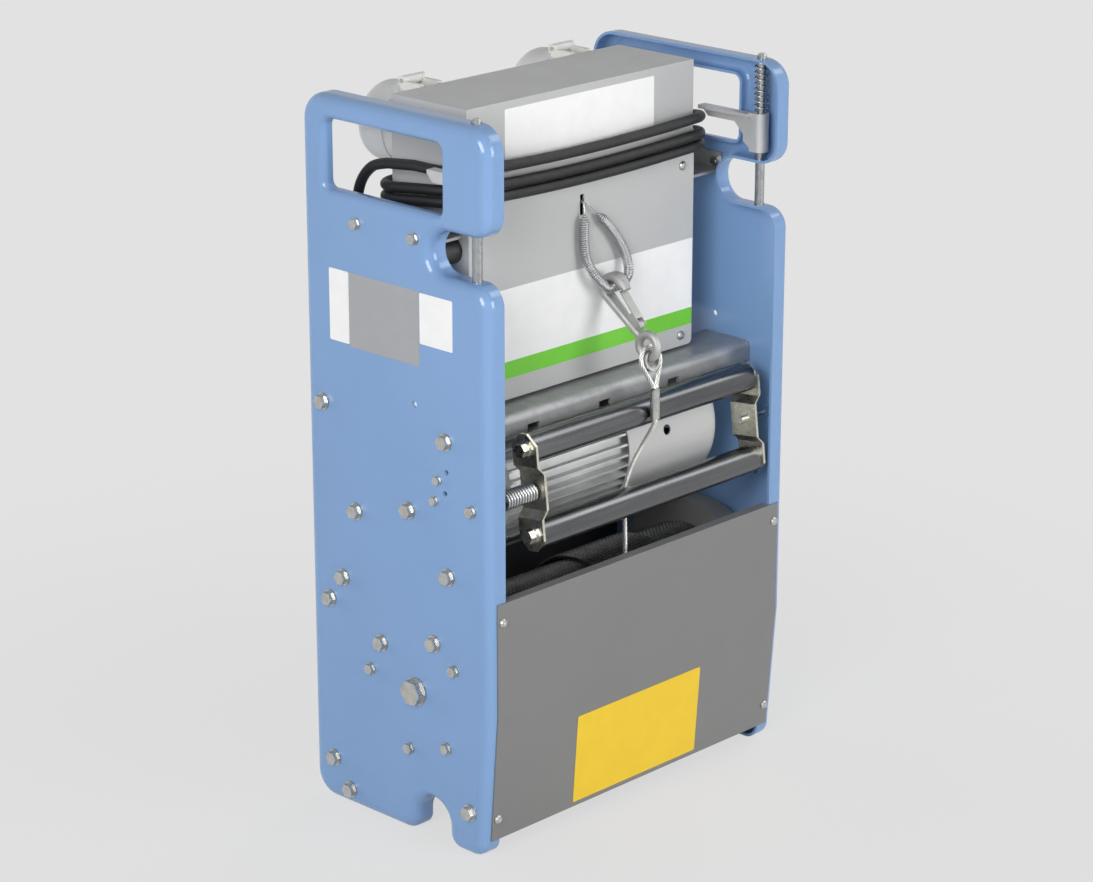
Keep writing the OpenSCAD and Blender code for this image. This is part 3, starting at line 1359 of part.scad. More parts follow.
module hook_latch() {
    ear = 1.2;
    ear_in = 3.9;
    face = -bowl_r + bowl_stock - 0.8;
    low = hook_pivot[1];
    color("gainsboro") hook_frame() difference() {
        union() {
            for (x = [-ear_in - ear, ear_in])
                block([x, face, low - 2.8], [x + ear, hook_pivot[0] + 3.2, low + 14]);
            block([-ear_in - ear, face, low + 5.5], [ear_in + ear, face + 1.5, low + 39]);
        }
        rod_x(-hook_pin_l, hook_pin_l, hook_pivot[0], low, hook_pin_d / 2 + run_gap);
    }
}

// Hook spring: curls along a bent middle line, with straight wire ends through the slot of the front plate
spring_per = 14;
spring_line = curve(hook_spring_points, spring_per);
spring_n = len(spring_line) - 1;
function coil_ramp(t) = min(1, max(0, (t - coil_start) / coil_rise));
function spring_swell(t) = coil_ramp(t) * coil_ramp(1 - t);
spring_dirs = path_dirs(spring_line);
hook_spring_path = [
    for (i = [0 : spring_n])
        let (t = i / spring_n, d = spring_dirs[i], u = square_to([0, 1, 0.001], d), v = cross(d, u),
             a = 360 * hook_spring_curls * t, r = (hook_spring_d - hook_wire) / 2 * spring_swell(t))
        spring_line[i] + r * (u * cos(a) + v * sin(a))
];
module hook_spring() {
    color("silver") tube(hook_spring_path, hook_wire, 5);
}

// Hexagon bolt pointing along X with its head on the left of x = 0
module bolt(m, grip) {
    rod_x(-m[4], 0, 0, 0, m[3]);
    translate([-m[4] - m[2], 0, 0]) along_x() cylinder(d = m[1] / cos(30), h = m[2] + 0.01, $fn = 6);
    rod_x(-0.01, grip, 0, 0, m[0] / 2);
}
module plate_bolt(p, m, grip) {
    translate([-half_w, p[0], p[1]]) bolt(m, sheet_t + grip);
}
module m8_bolts() {
    color("silver") {
        both_sides() for (p = frame_bolts) plate_bolt(p, M8, m8_grip);
        for (k = [0 : 5]) plate_bolt(gear_bolt(k), M8, gear_cover_t - 2);
    }
}
module m6_bolts() {
    color("silver") both_sides() {
        for (p = flange_bolts) plate_bolt(p, M6, m6_grip);
        for (p = bracket_bolts) plate_bolt(p, M6, sheet_t + nut_h + cut);
    }
}
module bracket_nuts() {
    color("silver") both_sides() for (p = bracket_bolts)
        translate([-inner_x + sheet_t, p[0], p[1]]) along_x() difference() {
            cylinder(d = M6[1] / cos(30), h = nut_h, $fn = 6);
            translate([0, 0, -cut]) cylinder(d = M6[0] + 2 * run_gap, h = nut_h + 2 * cut);
        }
}
module switch_screws() {
    color("silver") for (p = switch_places) plate_bolt(p, M5, 12);
}
module axle_bolts() {
    color("silver") both_sides() plate_bolt([drum_y, drum_z], M16, axle_thread);
}

union() {
    echo(winding_gap = least_gap(wind_path, rope_d, wind_rings - 2));
    echo(lead_gap = least_gap(lead_path, lead_d, 4 * lead_steps - 5));
    echo(latch_spring_gap = least_gap(latch_spring_path, latch_wire, 4));
    echo(pivot_spring_gap = least_gap(pivot_spring_path, pivot_spring_wire, 4));
    echo(hook_latch_pivot = bowl_at + [0, hook_pivot[0] * cos(hook_lean) + hook_pivot[1] * sin(hook_lean),
                                       hook_pivot[1] * cos(hook_lean) - hook_pivot[0] * sin(hook_lean)]);
    echo(hook_spring_gap = least_gap(hook_spring_path, hook_wire, 5));
}
left_side_plate();
right_side_plate();
tie_bars();
bottom_rear_panel();
front_cross_member();
front_cover();
cover_screws();
back_screws();
box_housing();
box_front_plate();
box_screws();
box_brackets();
contactor_rail();
contactors();
socket_bodies();
left_socket_lid();
right_socket_lid();
lid_hinge_pins();
cable_gland();
power_lead();
power_plug();
left_latch_rod();
right_latch_rod();
left_latch_lever();
right_latch_lever();
left_latch_spring();
right_latch_spring();
guide_tubes();
left_guide_bracket();
right_guide_bracket();
guide_tube_bolts();
guide_pivot_bolts();
guide_pivot_spring();
limit_switch();
motor_housing();
motor_fan_cowl();
rotor_shaft();
cooling_fan();
gearbox_cover();
gearbox_housing();
stage_wheel();
pinion_shaft();
shaft_bearings();
drum();
drum_gear();
drum_bearings();
drum_axle();
axle_flanges();
axle_bolts();
rope_core();
rope_winding();
rope_run();
rope_eye();
rope_ferrule();
rope_thimble();
load_hook();
hook_latch();
hook_spring();
m8_bolts();
m6_bolts();
bracket_nuts();
switch_screws();
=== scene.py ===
import math

import bmesh
import bpy
import numpy as np
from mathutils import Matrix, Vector


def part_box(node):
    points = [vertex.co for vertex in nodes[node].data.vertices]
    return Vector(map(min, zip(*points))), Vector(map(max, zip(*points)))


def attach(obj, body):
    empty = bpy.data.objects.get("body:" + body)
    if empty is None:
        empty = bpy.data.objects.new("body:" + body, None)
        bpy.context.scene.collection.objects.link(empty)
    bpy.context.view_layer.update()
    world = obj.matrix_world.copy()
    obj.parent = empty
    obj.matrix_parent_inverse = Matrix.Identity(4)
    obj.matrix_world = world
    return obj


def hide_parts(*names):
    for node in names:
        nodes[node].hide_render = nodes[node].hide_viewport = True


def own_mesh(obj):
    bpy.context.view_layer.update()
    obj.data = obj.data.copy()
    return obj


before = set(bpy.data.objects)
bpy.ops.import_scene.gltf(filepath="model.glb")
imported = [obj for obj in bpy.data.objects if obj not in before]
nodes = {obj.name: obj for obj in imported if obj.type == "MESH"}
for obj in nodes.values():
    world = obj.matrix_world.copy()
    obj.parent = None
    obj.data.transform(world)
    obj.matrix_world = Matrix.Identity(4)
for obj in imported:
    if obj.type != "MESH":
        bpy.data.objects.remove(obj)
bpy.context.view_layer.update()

MM = 0.001


# Small helpers

def linear(red, green, blue):
    """A colour given as it looks on a screen, 0 to 255, as the linear values that shaders use."""
    return tuple(
        (c / 255 / 12.92) if c < 10.3 else ((c / 255 + 0.055) / 1.055) ** 2.4
        for c in (red, green, blue)
    )


def unit(v):
    return v / np.linalg.norm(v)


def mix(a, b, t):
    return a + (b - a) * t


def half_wave(t):
    return (1 - math.cos(math.pi * t)) / 2


def curve_at(points, t):
    """Point on a smooth curve through the points, at the place t counted in points."""
    last = len(points) - 1
    i = min(int(math.floor(t)), last - 1)
    u = t - i
    a = points[max(i - 1, 0)]
    b = points[i]
    c = points[i + 1]
    d = points[min(i + 2, last)]
    return b + u * 0.5 * (c - a + u * (2 * a - 5 * b + 4 * c - d + u * (3 * (b - c) + d - a)))


def smooth_curve(points, per):
    points = np.array(points, dtype=float)
    return np.array([curve_at(points, i / per) for i in range((len(points) - 1) * per + 1)])


def unit_tangents(path):
    tangents = np.gradient(path, axis=0)
    return tangents / np.linalg.norm(tangents, axis=1)[:, None]


def box_mm(node):
    """The low and high corner of a node's box, in millimetres."""
    low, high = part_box(node)
    return np.array(low) / MM, np.array(high) / MM


def map_range(tree, value, source, target):
    """A node that takes value from the source range to the target range."""
    node = tree.nodes.new("ShaderNodeMapRange")
    node.inputs["From Min"].default_value = source[0]
    node.inputs["From Max"].default_value = source[1]
    node.inputs["To Min"].default_value = target[0]
    node.inputs["To Max"].default_value = target[1]
    tree.links.new(value, node.inputs["Value"])
    return node


def link(obj, body, material):
    bpy.context.scene.collection.objects.link(obj)
    obj.data.materials.append(material)
    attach(obj, body)
    return obj


def smooth_shade(mesh, degrees):
    mesh.polygons.foreach_set("use_smooth", [True] * len(mesh.polygons))
    mesh.set_sharp_from_angle(angle=math.radians(degrees))


def mesh_piece(name, verts, faces, body, material, degrees=40):
    mesh = bpy.data.meshes.new(name)
    mesh.from_pydata([tuple(v) for v in verts], [], faces)
    mesh.update()
    smooth_shade(mesh, degrees)
    return link(bpy.data.objects.new(name, mesh), body, material)


def curve_piece(name, points, radius, body, material, roundness=4):
    data = bpy.data.curves.new(name, "CURVE")
    data.dimensions = "3D"
    data.bevel_depth = radius
    data.bevel_resolution = roundness
    data.use_fill_caps = True
    spline = data.splines.new("POLY")
    spline.points.add(len(points) - 1)
    for place, point in zip(spline.points, points):
        place.co = (*point, 1)
    spline.use_smooth = True
    return link(bpy.data.objects.new(name, data), body, material)


def sweep(path, reach, lay=math.inf):
    """Vertices and faces of a tube along a path, whose outline has the radii in reach and turns in a lay."""
    tangents = unit_tangents(path)
    side = unit(np.cross(tangents[0], (0.3, 1.0, 0.2)))
    angles = 2 * math.pi * np.arange(len(reach)) / len(reach)
    verts = np.zeros((len(path), len(reach), 3))
    travelled = 0.0
    for i, (point, tangent) in enumerate(zip(path, tangents)):
        side = unit(side - tangent * np.dot(side, tangent))
        up = np.cross(tangent, side)
        if i:
            travelled += np.linalg.norm(point - path[i - 1])
        turn = angles + 2 * math.pi * travelled / lay
        verts[i] = point + np.outer(np.cos(turn) * reach, side) + np.outer(np.sin(turn) * reach, up)
    return verts.reshape(-1, 3), tube_faces(len(path), len(reach))


def tube_faces(rings, sides):
    faces = []
    for i in range(rings - 1):
        for k in range(sides):
            a = i * sides + k
            b = i * sides + (k + 1) % sides
            faces.append((a, b, b + sides, a + sides))
    faces.append(tuple(range(sides - 1, -1, -1)))
    faces.append(tuple((rings - 1) * sides + k for k in range(sides)))
    return faces


# Materials: every one is a node tree with its own grain, in metres of the object's frame

COLOUR_STOPS = (0.3, 0.7)
ROUGH_SOURCE = (0.25, 0.75)


class Paint:
    """A principled material with helpers for the textures that drive it."""

    def __init__(self, name, roughness=0.5, metallic=0.0):
        self.material = bpy.data.materials.new(name)
        self.material.use_nodes = True
        self.tree = self.material.node_tree
        self.shader = self.tree.nodes["Principled BSDF"]
        self.shader.inputs["Roughness"].default_value = roughness
        self.shader.inputs["Metallic"].default_value = metallic
        self.coords = self.tree.nodes.new("ShaderNodeTexCoord").outputs["Object"]
        self.bump = None

    def stretched(self, scale):
        node = self.tree.nodes.new("ShaderNodeMapping")
        node.inputs["Scale"].default_value = scale
        self.tree.links.new(self.coords, node.inputs["Vector"])
        return node.outputs["Vector"]

    def noise(self, scale, detail=3.0, stretch=None):
        node = self.tree.nodes.new("ShaderNodeTexNoise")
        node.inputs["Scale"].default_value = scale
        node.inputs["Detail"].default_value = detail
        self.tree.links.new(self.stretched(stretch) if stretch else self.coords, node.inputs["Vector"])
        return node.outputs["Fac"]

    def cells(self, scale):
        node = self.tree.nodes.new("ShaderNodeTexVoronoi")
        node.inputs["Scale"].default_value = scale
        self.tree.links.new(self.coords, node.inputs["Vector"])
        split = self.tree.nodes.new("ShaderNodeSeparateColor")
        self.tree.links.new(node.outputs["Color"], split.inputs["Color"])
        return split.outputs["Red"]

    def ramp(self, factor, stops):
        node = self.tree.nodes.new("ShaderNodeValToRGB")
        while len(node.color_ramp.elements) < len(stops):
            node.color_ramp.elements.new(0.5)
        for element, (place, colour) in zip(node.color_ramp.elements, stops):
            element.position = place
            element.color = (*colour, 1)
        self.tree.links.new(factor, node.inputs["Fac"])
        return node.outputs["Color"]

    def shades(self, factor, colour, spread):
        low = tuple(c * (1 - spread) for c in colour)
        high = tuple(min(1, c * (1 + spread)) for c in colour)
        return self.ramp(factor, list(zip(COLOUR_STOPS, (low, high))))

    def colour(self, factor, colour, spread):
        self.tree.links.new(self.shades(factor, colour, spread), self.shader.inputs["Base Color"])
        return self

    def rough(self, factor, low, high):
        node = map_range(self.tree, factor, ROUGH_SOURCE, (low, high))
        self.tree.links.new(node.outputs["Result"], self.shader.inputs["Roughness"])
        return self

    def relief(self, factor, strength, distance):
        node = self.tree.nodes.new("ShaderNodeBump")
        node.inputs["Strength"].default_value = strength
        node.inputs["Distance"].default_value = distance
        self.tree.links.new(factor, node.inputs["Height"])
        if self.bump:
            self.tree.links.new(self.bump, node.inputs["Normal"])
        self.bump = node.outputs["Normal"]
        self.tree.links.new(self.bump, self.shader.inputs["Normal"])
        return self


def powder_coat(name, colour, low=0.3, high=0.42, peel=0.12):
    paint = Paint(name)
    paint.colour(paint.noise(6, 4), colour, 0.03)
    paint.rough(paint.noise(30, 3), low, high)
    paint.relief(paint.noise(450, 2), peel, 0.0003)
    return paint.material


def galvanised(name, colour):
    paint = Paint(name, metallic=0.45)
    paint.colour(paint.cells(90), colour, 0.06)
    paint.rough(paint.noise(40, 5), 0.28, 0.5)
    paint.relief(paint.noise(300, 4), 0.08, 0.0003)
    return paint.material


def plated(name, colour, low=0.22, high=0.4, spread=0.08):
    paint = Paint(name, metallic=1.0)
    paint.colour(paint.noise(120, 4), colour, spread)
    paint.rough(paint.noise(220, 4), low, high)
    paint.relief(paint.noise(900, 3), 0.06, 0.0002)
    return paint.material


def drawn_steel(name, colour, low=0.16, high=0.4):
    paint = Paint(name, metallic=1.0)
    paint.colour(paint.noise(60, 6, (0.06, 1, 1)), colour, 0.22)
    paint.rough(paint.noise(260, 4, (0.03, 1, 1)), low, high)
    paint.relief(paint.noise(900, 2, (0.02, 1, 1)), 0.1, 0.0002)
    return paint.material


def cast_metal(name, colour, metallic=0.7):
    paint = Paint(name, metallic=metallic)
    paint.colour(paint.noise(30, 6), colour, 0.12)
    paint.rough(paint.noise(90, 4), 0.42, 0.62)
    paint.relief(paint.noise(520, 6), 0.25, 0.0005)
    return paint.material


def moulded(name, colour, low=0.32, high=0.5):
    paint = Paint(name)
    paint.colour(paint.noise(20, 3), colour, 0.06)
    paint.rough(paint.noise(150, 3), low, high)
    paint.relief(paint.noise(1200, 2), 0.1, 0.0002)
    return paint.material


def rubber(name, colour):
    paint = Paint(name)
    paint.colour(paint.noise(35, 5), colour, 0.25)
    paint.rough(paint.noise(180, 4), 0.45, 0.62)
    paint.relief(paint.noise(700, 4), 0.18, 0.0003)
    return paint.material


# Painted shade: the colour between a rope's strands is multiplied down to 0.12 in the grooves
GROOVE_SHADE_STOPS = [(0.1, (0.12, 0.12, 0.12)), (0.8, (1, 1, 1))]


def rope_wire(name, colour, low, high, dirt):
    """Worn wire, with painted shade that darkens the grooves between its strands."""
    paint = Paint(name, metallic=0.85)
    groove = paint.tree.nodes.new("ShaderNodeAttribute")
    groove.attribute_name = "strand"
    # painted shade from the groove mask, multiplied into the worn colour
    shade = paint.ramp(groove.outputs["Fac"], GROOVE_SHADE_STOPS)
    wear = paint.shades(paint.noise(70, 6), colour, dirt)
    both = paint.tree.nodes.new("ShaderNodeMix")
    both.data_type = "RGBA"
    both.blend_type = "MULTIPLY"
    both.inputs["Factor"].default_value = 1.0
    paint.tree.links.new(wear, both.inputs["A"])
    paint.tree.links.new(shade, both.inputs["B"])
    paint.tree.links.new(both.outputs["Result"], paint.shader.inputs["Base Color"])
    paint.rough(paint.noise(240, 5), low, high)
    paint.relief(paint.noise(1500, 3), 0.35, 0.0004)
    return paint.material


def sticker(name, colour, low=0.3, high=0.42, metallic=0.0):
    paint = Paint(name, metallic=metallic)
    paint.colour(paint.noise(45, 5), colour, 0.025)
    paint.rough(paint.noise(110, 3), low, high)
    paint.relief(paint.noise(260, 3), 0.05, 0.0002)
    return paint.material


BLUE = powder_coat("plate_blue", linear(123, 157, 201), 0.12, 0.17, 0.02)
BOX_GREY = powder_coat("box_grey", linear(182, 183, 183), 0.3, 0.4)
COVER_GREY = powder_coat("cover_grey", linear(122, 122, 122), 0.34, 0.46)
COWL_WHITE = powder_coat("cowl_white", linear(196, 197, 196), 0.35, 0.5)
DRUM_GREY = powder_coat("drum_grey", linear(138, 138, 136), 0.4, 0.55)
# Painted shade: the rear panel's near-black colour stands for the deep shade behind the drum
REAR_SHADE = powder_coat("rear_painted_shade", linear(44, 45, 47), 0.4, 0.55)
GALVANISED = galvanised("galvanised_sheet", linear(166, 167, 168))
LEVER = cast_metal("lever_cast", linear(196, 197, 198), 0.4)
BAR_STEEL = plated("bar_zinc", linear(168, 170, 172))
BOLT_ZINC = plated("bolt_zinc", linear(196, 195, 190), 0.2, 0.36, 0.12)
YELLOW_ZINC = plated("yellow_zinc", linear(208, 206, 192), 0.22, 0.38, 0.12)
SPRING_STEEL = plated("spring_wire", linear(188, 189, 190), 0.24, 0.38)
TUBE_STEEL = drawn_steel("tube_steel", linear(108, 109, 111), 0.16, 0.34)
GEAR_STEEL = drawn_steel("gear_steel", linear(140, 141, 143), 0.25, 0.45)
MOTOR_ALLOY = cast_metal("motor_alloy", linear(198, 199, 199), 0.4)
GEARBOX_IRON = cast_metal("gearbox_iron", linear(96, 97, 99), 0.4)
BLACK_PLASTIC = moulded("black_plastic", linear(38, 38, 40))
WHITE_PLASTIC = moulded("white_plastic", linear(214, 214, 208), 0.25, 0.4)
LID_GREY = moulded("lid_grey", linear(212, 213, 212), 0.28, 0.42)
LEAD_RUBBER = rubber("lead_rubber", linear(20, 20, 21))
# Painted shade: the rope on the drum is the same rope as the free rope, given a darker colour for the shaded
# inside of the winch
ROPE_SHADED = rope_wire("rope_dark", linear(142, 142, 140), 0.28, 0.45, 0.25)
ROPE_BRIGHT = rope_wire("rope_bright", linear(232, 231, 227), 0.25, 0.45, 0.12)
HOOK_ZINC = plated("hook_zinc", linear(190, 190, 188), 0.22, 0.4, 0.14)
HOOK_CAST = cast_metal("hook_cast", linear(176, 176, 174), 0.6)
LABEL_WHITE = sticker("label_white", linear(236, 236, 236))
LABEL_SILVER = sticker("label_silver", linear(164, 165, 168), 0.3, 0.45, 0.2)
LABEL_GREEN = sticker("label_green", linear(112, 200, 54))
LABEL_YELLOW = sticker("label_yellow", linear(236, 198, 34))


# Camera at the photograph's angle and distance

AZIMUTH = math.radians(45.95)
ELEVATION = math.radians(18.49)
LENS = 109.5
SENSOR = 36
CAMERA_PLACE = Vector((-2.385, -2.300, 1.476))

camera_data = bpy.data.cameras.new("camera")
camera_data.lens = LENS
camera_data.sensor_width = SENSOR
camera_data.sensor_fit = "HORIZONTAL"
camera = bpy.data.objects.new("camera", camera_data)
look = Vector((
    math.sin(AZIMUTH) * math.cos(ELEVATION),
    math.cos(AZIMUTH) * math.cos(ELEVATION),
    -math.sin(ELEVATION),
))
camera.location = CAMERA_PLACE
camera.rotation_euler = (-look).to_track_quat("Z", "Y").to_euler()
bpy.context.scene.collection.objects.link(camera)
bpy.context.scene.camera = camera


# Power lead: out of the gland, nearly three turns round the box, then a tail down to its plug

box_low, box_high = box_mm("box_housing")
front_plate_low, front_plate_high = box_mm("box_front_plate")
LEAD_D = 11.0
LEAD_CLEAR = 1.0
LEAD_PITCH = LEAD_D + LEAD_CLEAR
LEAD_FORE = (-18, -6, 12)
LEAD_LEVEL = 20.0
LEAD_PAST_LID = 15.0
LEAD_SIDE = 21.0
LEAD_OFF = 12.0
LEAD_BEND = 40.0
LEAD_BOW = 5.0
LEAD_SAG = 5.5
LEAD_START_Z = 613.0
LEAD_STEP = 4.0
LEAD_ROUND = 5
TAIL_JOIN = 4.0
TAIL_FINE = 8
FRONT_TOLERANCE = 0.1
SOCKET_Z = 712.0
COLLAR_R = 41.0
lead_x = box_high[0] + LEAD_SIDE
lead_front = front_plate_low[1] - LEAD_OFF
lead_back = box_high[1] + LEAD_OFF
lead_mid_y = (lead_front + lead_back) / 2
lead_rear = [SOCKET_Z - COLLAR_R - LEAD_CLEAR - LEAD_D / 2 - LEAD_PITCH * k for k in (2, 1, 0)]
lead_fore = [front_plate_high[2] + rise for rise in LEAD_FORE]
lead_tail = [
    (-lead_x - 1, 45, 693), (-lead_x - 2, 66, 686), (-lead_x, 85, 666), (-lead_x + 3, 95, 636),
    (-lead_x + 6, 97, 607), (-lead_x + 6, 97, 590),
]
lead_arc = LEAD_BEND * math.pi / 2
lead_run_x = 2 * (lead_x - LEAD_BEND)
lead_run_y = lead_back - lead_front - 2 * LEAD_BEND
lead_round = 2 * lead_run_x + 2 * lead_run_y + 4 * lead_arc
lead_quarter = lead_round / 4
lead_turns = len(lead_fore) - 0.5
socket_low, socket_high = box_mm("right_socket_lid")
lead_flat = (socket_low[0] + socket_high[0]) / 2 + LEAD_PAST_LID
lead_climb = 2 * lead_quarter - lead_run_x / 2 - lead_flat


def turn_quarter(s):
    """x and y of the lead at s along the first quarter of a turn, from the middle of the back."""
    if s < lead_run_x / 2:
        return (s, lead_back)
    if s < lead_run_x / 2 + lead_arc:
        a = (s - lead_run_x / 2) / LEAD_BEND
        return (lead_run_x / 2 + LEAD_BEND * math.sin(a), lead_back - LEAD_BEND + LEAD_BEND * math.cos(a))
    return (lead_x, lead_back - LEAD_BEND - (s - lead_run_x / 2 - lead_arc))


def turn_half(s):
    if s <= lead_quarter:
        return turn_quarter(s)
    x, y = turn_quarter(2 * lead_quarter - s)
    return (x, 2 * lead_mid_y - y)


def turn_at(s):
    u = s / lead_round % 1
    x, y = turn_half(lead_round * min(u, 1 - u))
    return (x if u <= 0.5 else -x, y)


def turn_height(s):
    """Height of the lead at s: level past the sockets, then up or down to its place at the front."""
    half = 2 * lead_quarter
    k = int(s // half)
    up = k % 2 == 0
    from_back = s - k * half if up else (k + 1) * half - s
    back = lead_rear[k // 2 if up else k // 2 + 1]
    return mix(back, lead_fore[k // 2], half_wave(min(1, max(0, from_back - lead_flat) / lead_climb)))


def lead_height(s):
    if s < 0:
        return mix(LEAD_START_Z, lead_rear[0], half_wave(max(0, 1 + s / (lead_run_x / 2 - LEAD_LEVEL))))
    if s < lead_turns * lead_round:
        return turn_height(s)
    past = (s - lead_turns * lead_round - lead_run_x / 2) / (lead_quarter - lead_run_x / 2)
    return mix(lead_fore[-1], lead_tail[0][2] + TAIL_JOIN, half_wave(max(0, past)))


def lead_point(s):
    x, y = turn_at(s)
    share = 0 if y > lead_front + FRONT_TOLERANCE else 1 - (x / (lead_run_x / 2)) ** 2
    return (x, y + LEAD_BOW * share, lead_height(s) - LEAD_SAG * share)


lead_end = (lead_turns + 0.25) * lead_round
lead_places = np.linspace(-lead_quarter, lead_end, int((lead_end + lead_quarter) / LEAD_STEP))
lead_points = np.array([lead_point(s) for s in lead_places] + list(smooth_curve(lead_tail, TAIL_FINE))) * MM
lead = curve_piece("lead", lead_points, LEAD_D / 2 * MM, "frame", LEAD_RUBBER, LEAD_ROUND)
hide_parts("power_lead")


# Rope: strands laid round each other, on the drum, on its way up and round the thimble

ROPE_D = 5.0
STRANDS = 6
LAY = 33.0
GROOVE_FLOOR = 0.64
COARSE = 2
FINE = 6
ROUND_SHADE = 180
DRUM_Y = -27.0
DRUM_Z = 160.0
ROPE_X = 4.0
ROPE_PITCH = 5.6
CORE_R = 76.0
GAP = 0.3


def strand_profile(points_each):
    """Radius share of a laid rope round its outline, strand by strand."""
    shares = []
    for k in range(STRANDS * points_each):
        a = 2 * math.pi / STRANDS * ((k / points_each + 0.5) % 1 - 0.5)
        shares.append(2 / 3 * math.cos(a) + math.sqrt(max(1 / 9 - (2 / 3 * math.sin(a)) ** 2, 0)))
    return np.maximum(np.array(shares), GROOVE_FLOOR)


def laid_rope(path, diameter, points_each):
    """Vertices and faces of a rope along a path, its strands turning once in a lay."""
    return sweep(path, strand_profile(points_each) * diameter / 2, LAY)


def mark_groove_shade(obj, rings, points_each):
    """Writes on each point whether it lies in a groove, 0, or on a strand's crest, 1, as the mask of the
    painted groove shade.
    """
    shares = strand_profile(points_each)
    crest = (shares - shares.min()) / (shares.max() - shares.min())
    # points past the rope's rings, such as the filled ends of the lower layers, keep 0 and get the full
    # painted shade
    values = np.zeros(len(obj.data.vertices))
    values[:rings * len(crest)] = np.tile(crest, rings)
    obj.data.attributes.new("strand", "FLOAT", "POINT").data.foreach_set("value", values)


def drum_helix(radius, x0, x1, pitch, end_angle, step):
    """Rope path on the drum from x0 to x1, at end_angle where x is x0."""
    turns = (x1 - x0) / pitch
    count = int(turns * 2 * math.pi * radius / step)
    t = np.linspace(0, turns, count)
    a = math.radians(end_angle) + 2 * math.pi * t
    return np.stack([x0 + pitch * t, DRUM_Y + radius * np.cos(a), DRUM_Z + radius * np.sin(a)], axis=1)


WIND_END = 176.0
WIND_TURNS = 18
WIND_STEP = 2.6
WIND_LIFT = 0.9
WIND_R = CORE_R + GAP + ROPE_D / 2 + WIND_LIFT
wind_x = ROPE_X + ROPE_PITCH
top_layer = drum_helix(WIND_R, wind_x, wind_x + WIND_TURNS * ROPE_PITCH, ROPE_PITCH, WIND_END, WIND_STEP)
verts, faces = laid_rope(top_layer, ROPE_D, COARSE)
winding = mesh_piece("top_layer", verts * MM, faces, "drum", ROPE_SHADED, ROUND_SHADE)
mark_groove_shade(winding, len(top_layer), COARSE)
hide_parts("rope_winding")

core_low, core_high = box_mm("rope_core")
CORE_PITCH = 5.05
CORE_STEP = 3.3
CORE_FILL = 4.2
BARREL_R = 55.3
RING = 96
core_path = drum_helix(
    CORE_R - ROPE_D / 2, core_low[0] + ROPE_D / 2, core_high[0] - ROPE_D / 2, CORE_PITCH, WIND_END, CORE_STEP
)
core_verts, core_faces = laid_rope(core_path, ROPE_D, COARSE)
fill_r = CORE_R - CORE_FILL
fill_rings = (
    (core_low[0], BARREL_R), (core_low[0], fill_r),
    (core_high[0], fill_r), (core_high[0], BARREL_R),
)
fill = []
for x, radius in fill_rings:
    for k in range(RING):
        a = 2 * math.pi * k / RING
        fill.append((x, DRUM_Y + radius * math.cos(a), DRUM_Z + radius * math.sin(a)))
base = len(core_verts)
for i in range(len(fill_rings)):
    this = base + i * RING
    other = base + (i + 1) % len(fill_rings) * RING
    for k in range(RING):
        after = (k + 1) % RING
        core_faces.append((this + k, this + after, other + after, other + k))
core_all = np.vstack([core_verts, fill]) * MM
core = mesh_piece("lower_layers", core_all, core_faces, "drum", ROPE_SHADED, ROUND_SHADE)
mark_groove_shade(core, len(core_path), COARSE)
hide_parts("rope_core")

GUIDE_Y = -109.0
GUIDE_Z = 374.0
GUIDE_SPAN = 89.6
GUIDE_TILT = math.radians(6.7)
GUIDE_TUBE_R = 15.0
FERRULE_D = 10.0
FERRULE_L = 32.0
ROPE_SEAT = 0.4
RUN_FINE = 16
run_r = CORE_R + GAP + ROPE_D / 2
RUN_ANGLE = math.radians(3.5)
tube_shift = np.array((math.sin(GUIDE_TILT), math.cos(GUIDE_TILT))) * GUIDE_SPAN / 2
low_tube = np.array((GUIDE_Y, GUIDE_Z)) - tube_shift
high_tube = np.array((GUIDE_Y, GUIDE_Z)) + tube_shift
rope_off = np.array((ROPE_X, DRUM_Y - run_r * math.cos(RUN_ANGLE), DRUM_Z + run_r * math.sin(RUN_ANGLE)))
rope_low = np.array((ROPE_X + 5, low_tube[0] + GUIDE_TUBE_R + ROPE_D / 2 + GAP, low_tube[1] - 3))
ferrule_y = high_tube[0] - GUIDE_TUBE_R - FERRULE_D / 2 - 2 * GAP
rope_high = np.array((ROPE_X + 20, ferrule_y, high_tube[1] - 3.5))
rope_points = [
    rope_off, mix(rope_off, rope_low, 0.25), mix(rope_off, rope_low, 0.5),
    mix(rope_off, rope_low, 0.75), rope_low,
    mix(rope_low, rope_high, 0.22) + (-1, 5, 0), mix(rope_low, rope_high, 0.44) + (0, 6, 0),
    mix(rope_low, rope_high, 0.68) + (2, 4, 0), mix(rope_low, rope_high, 0.86) + (1, 0, 0),
    rope_high - (0, 0, 4), rope_high,
]
run_path = smooth_curve(rope_points, RUN_FINE)
verts, faces = laid_rope(run_path, ROPE_D, FINE)
run = mesh_piece("free_rope", verts * MM, faces, "frame", ROPE_BRIGHT, ROUND_SHADE)
mark_groove_shade(run, len(run_path), FINE)
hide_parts("rope_run")

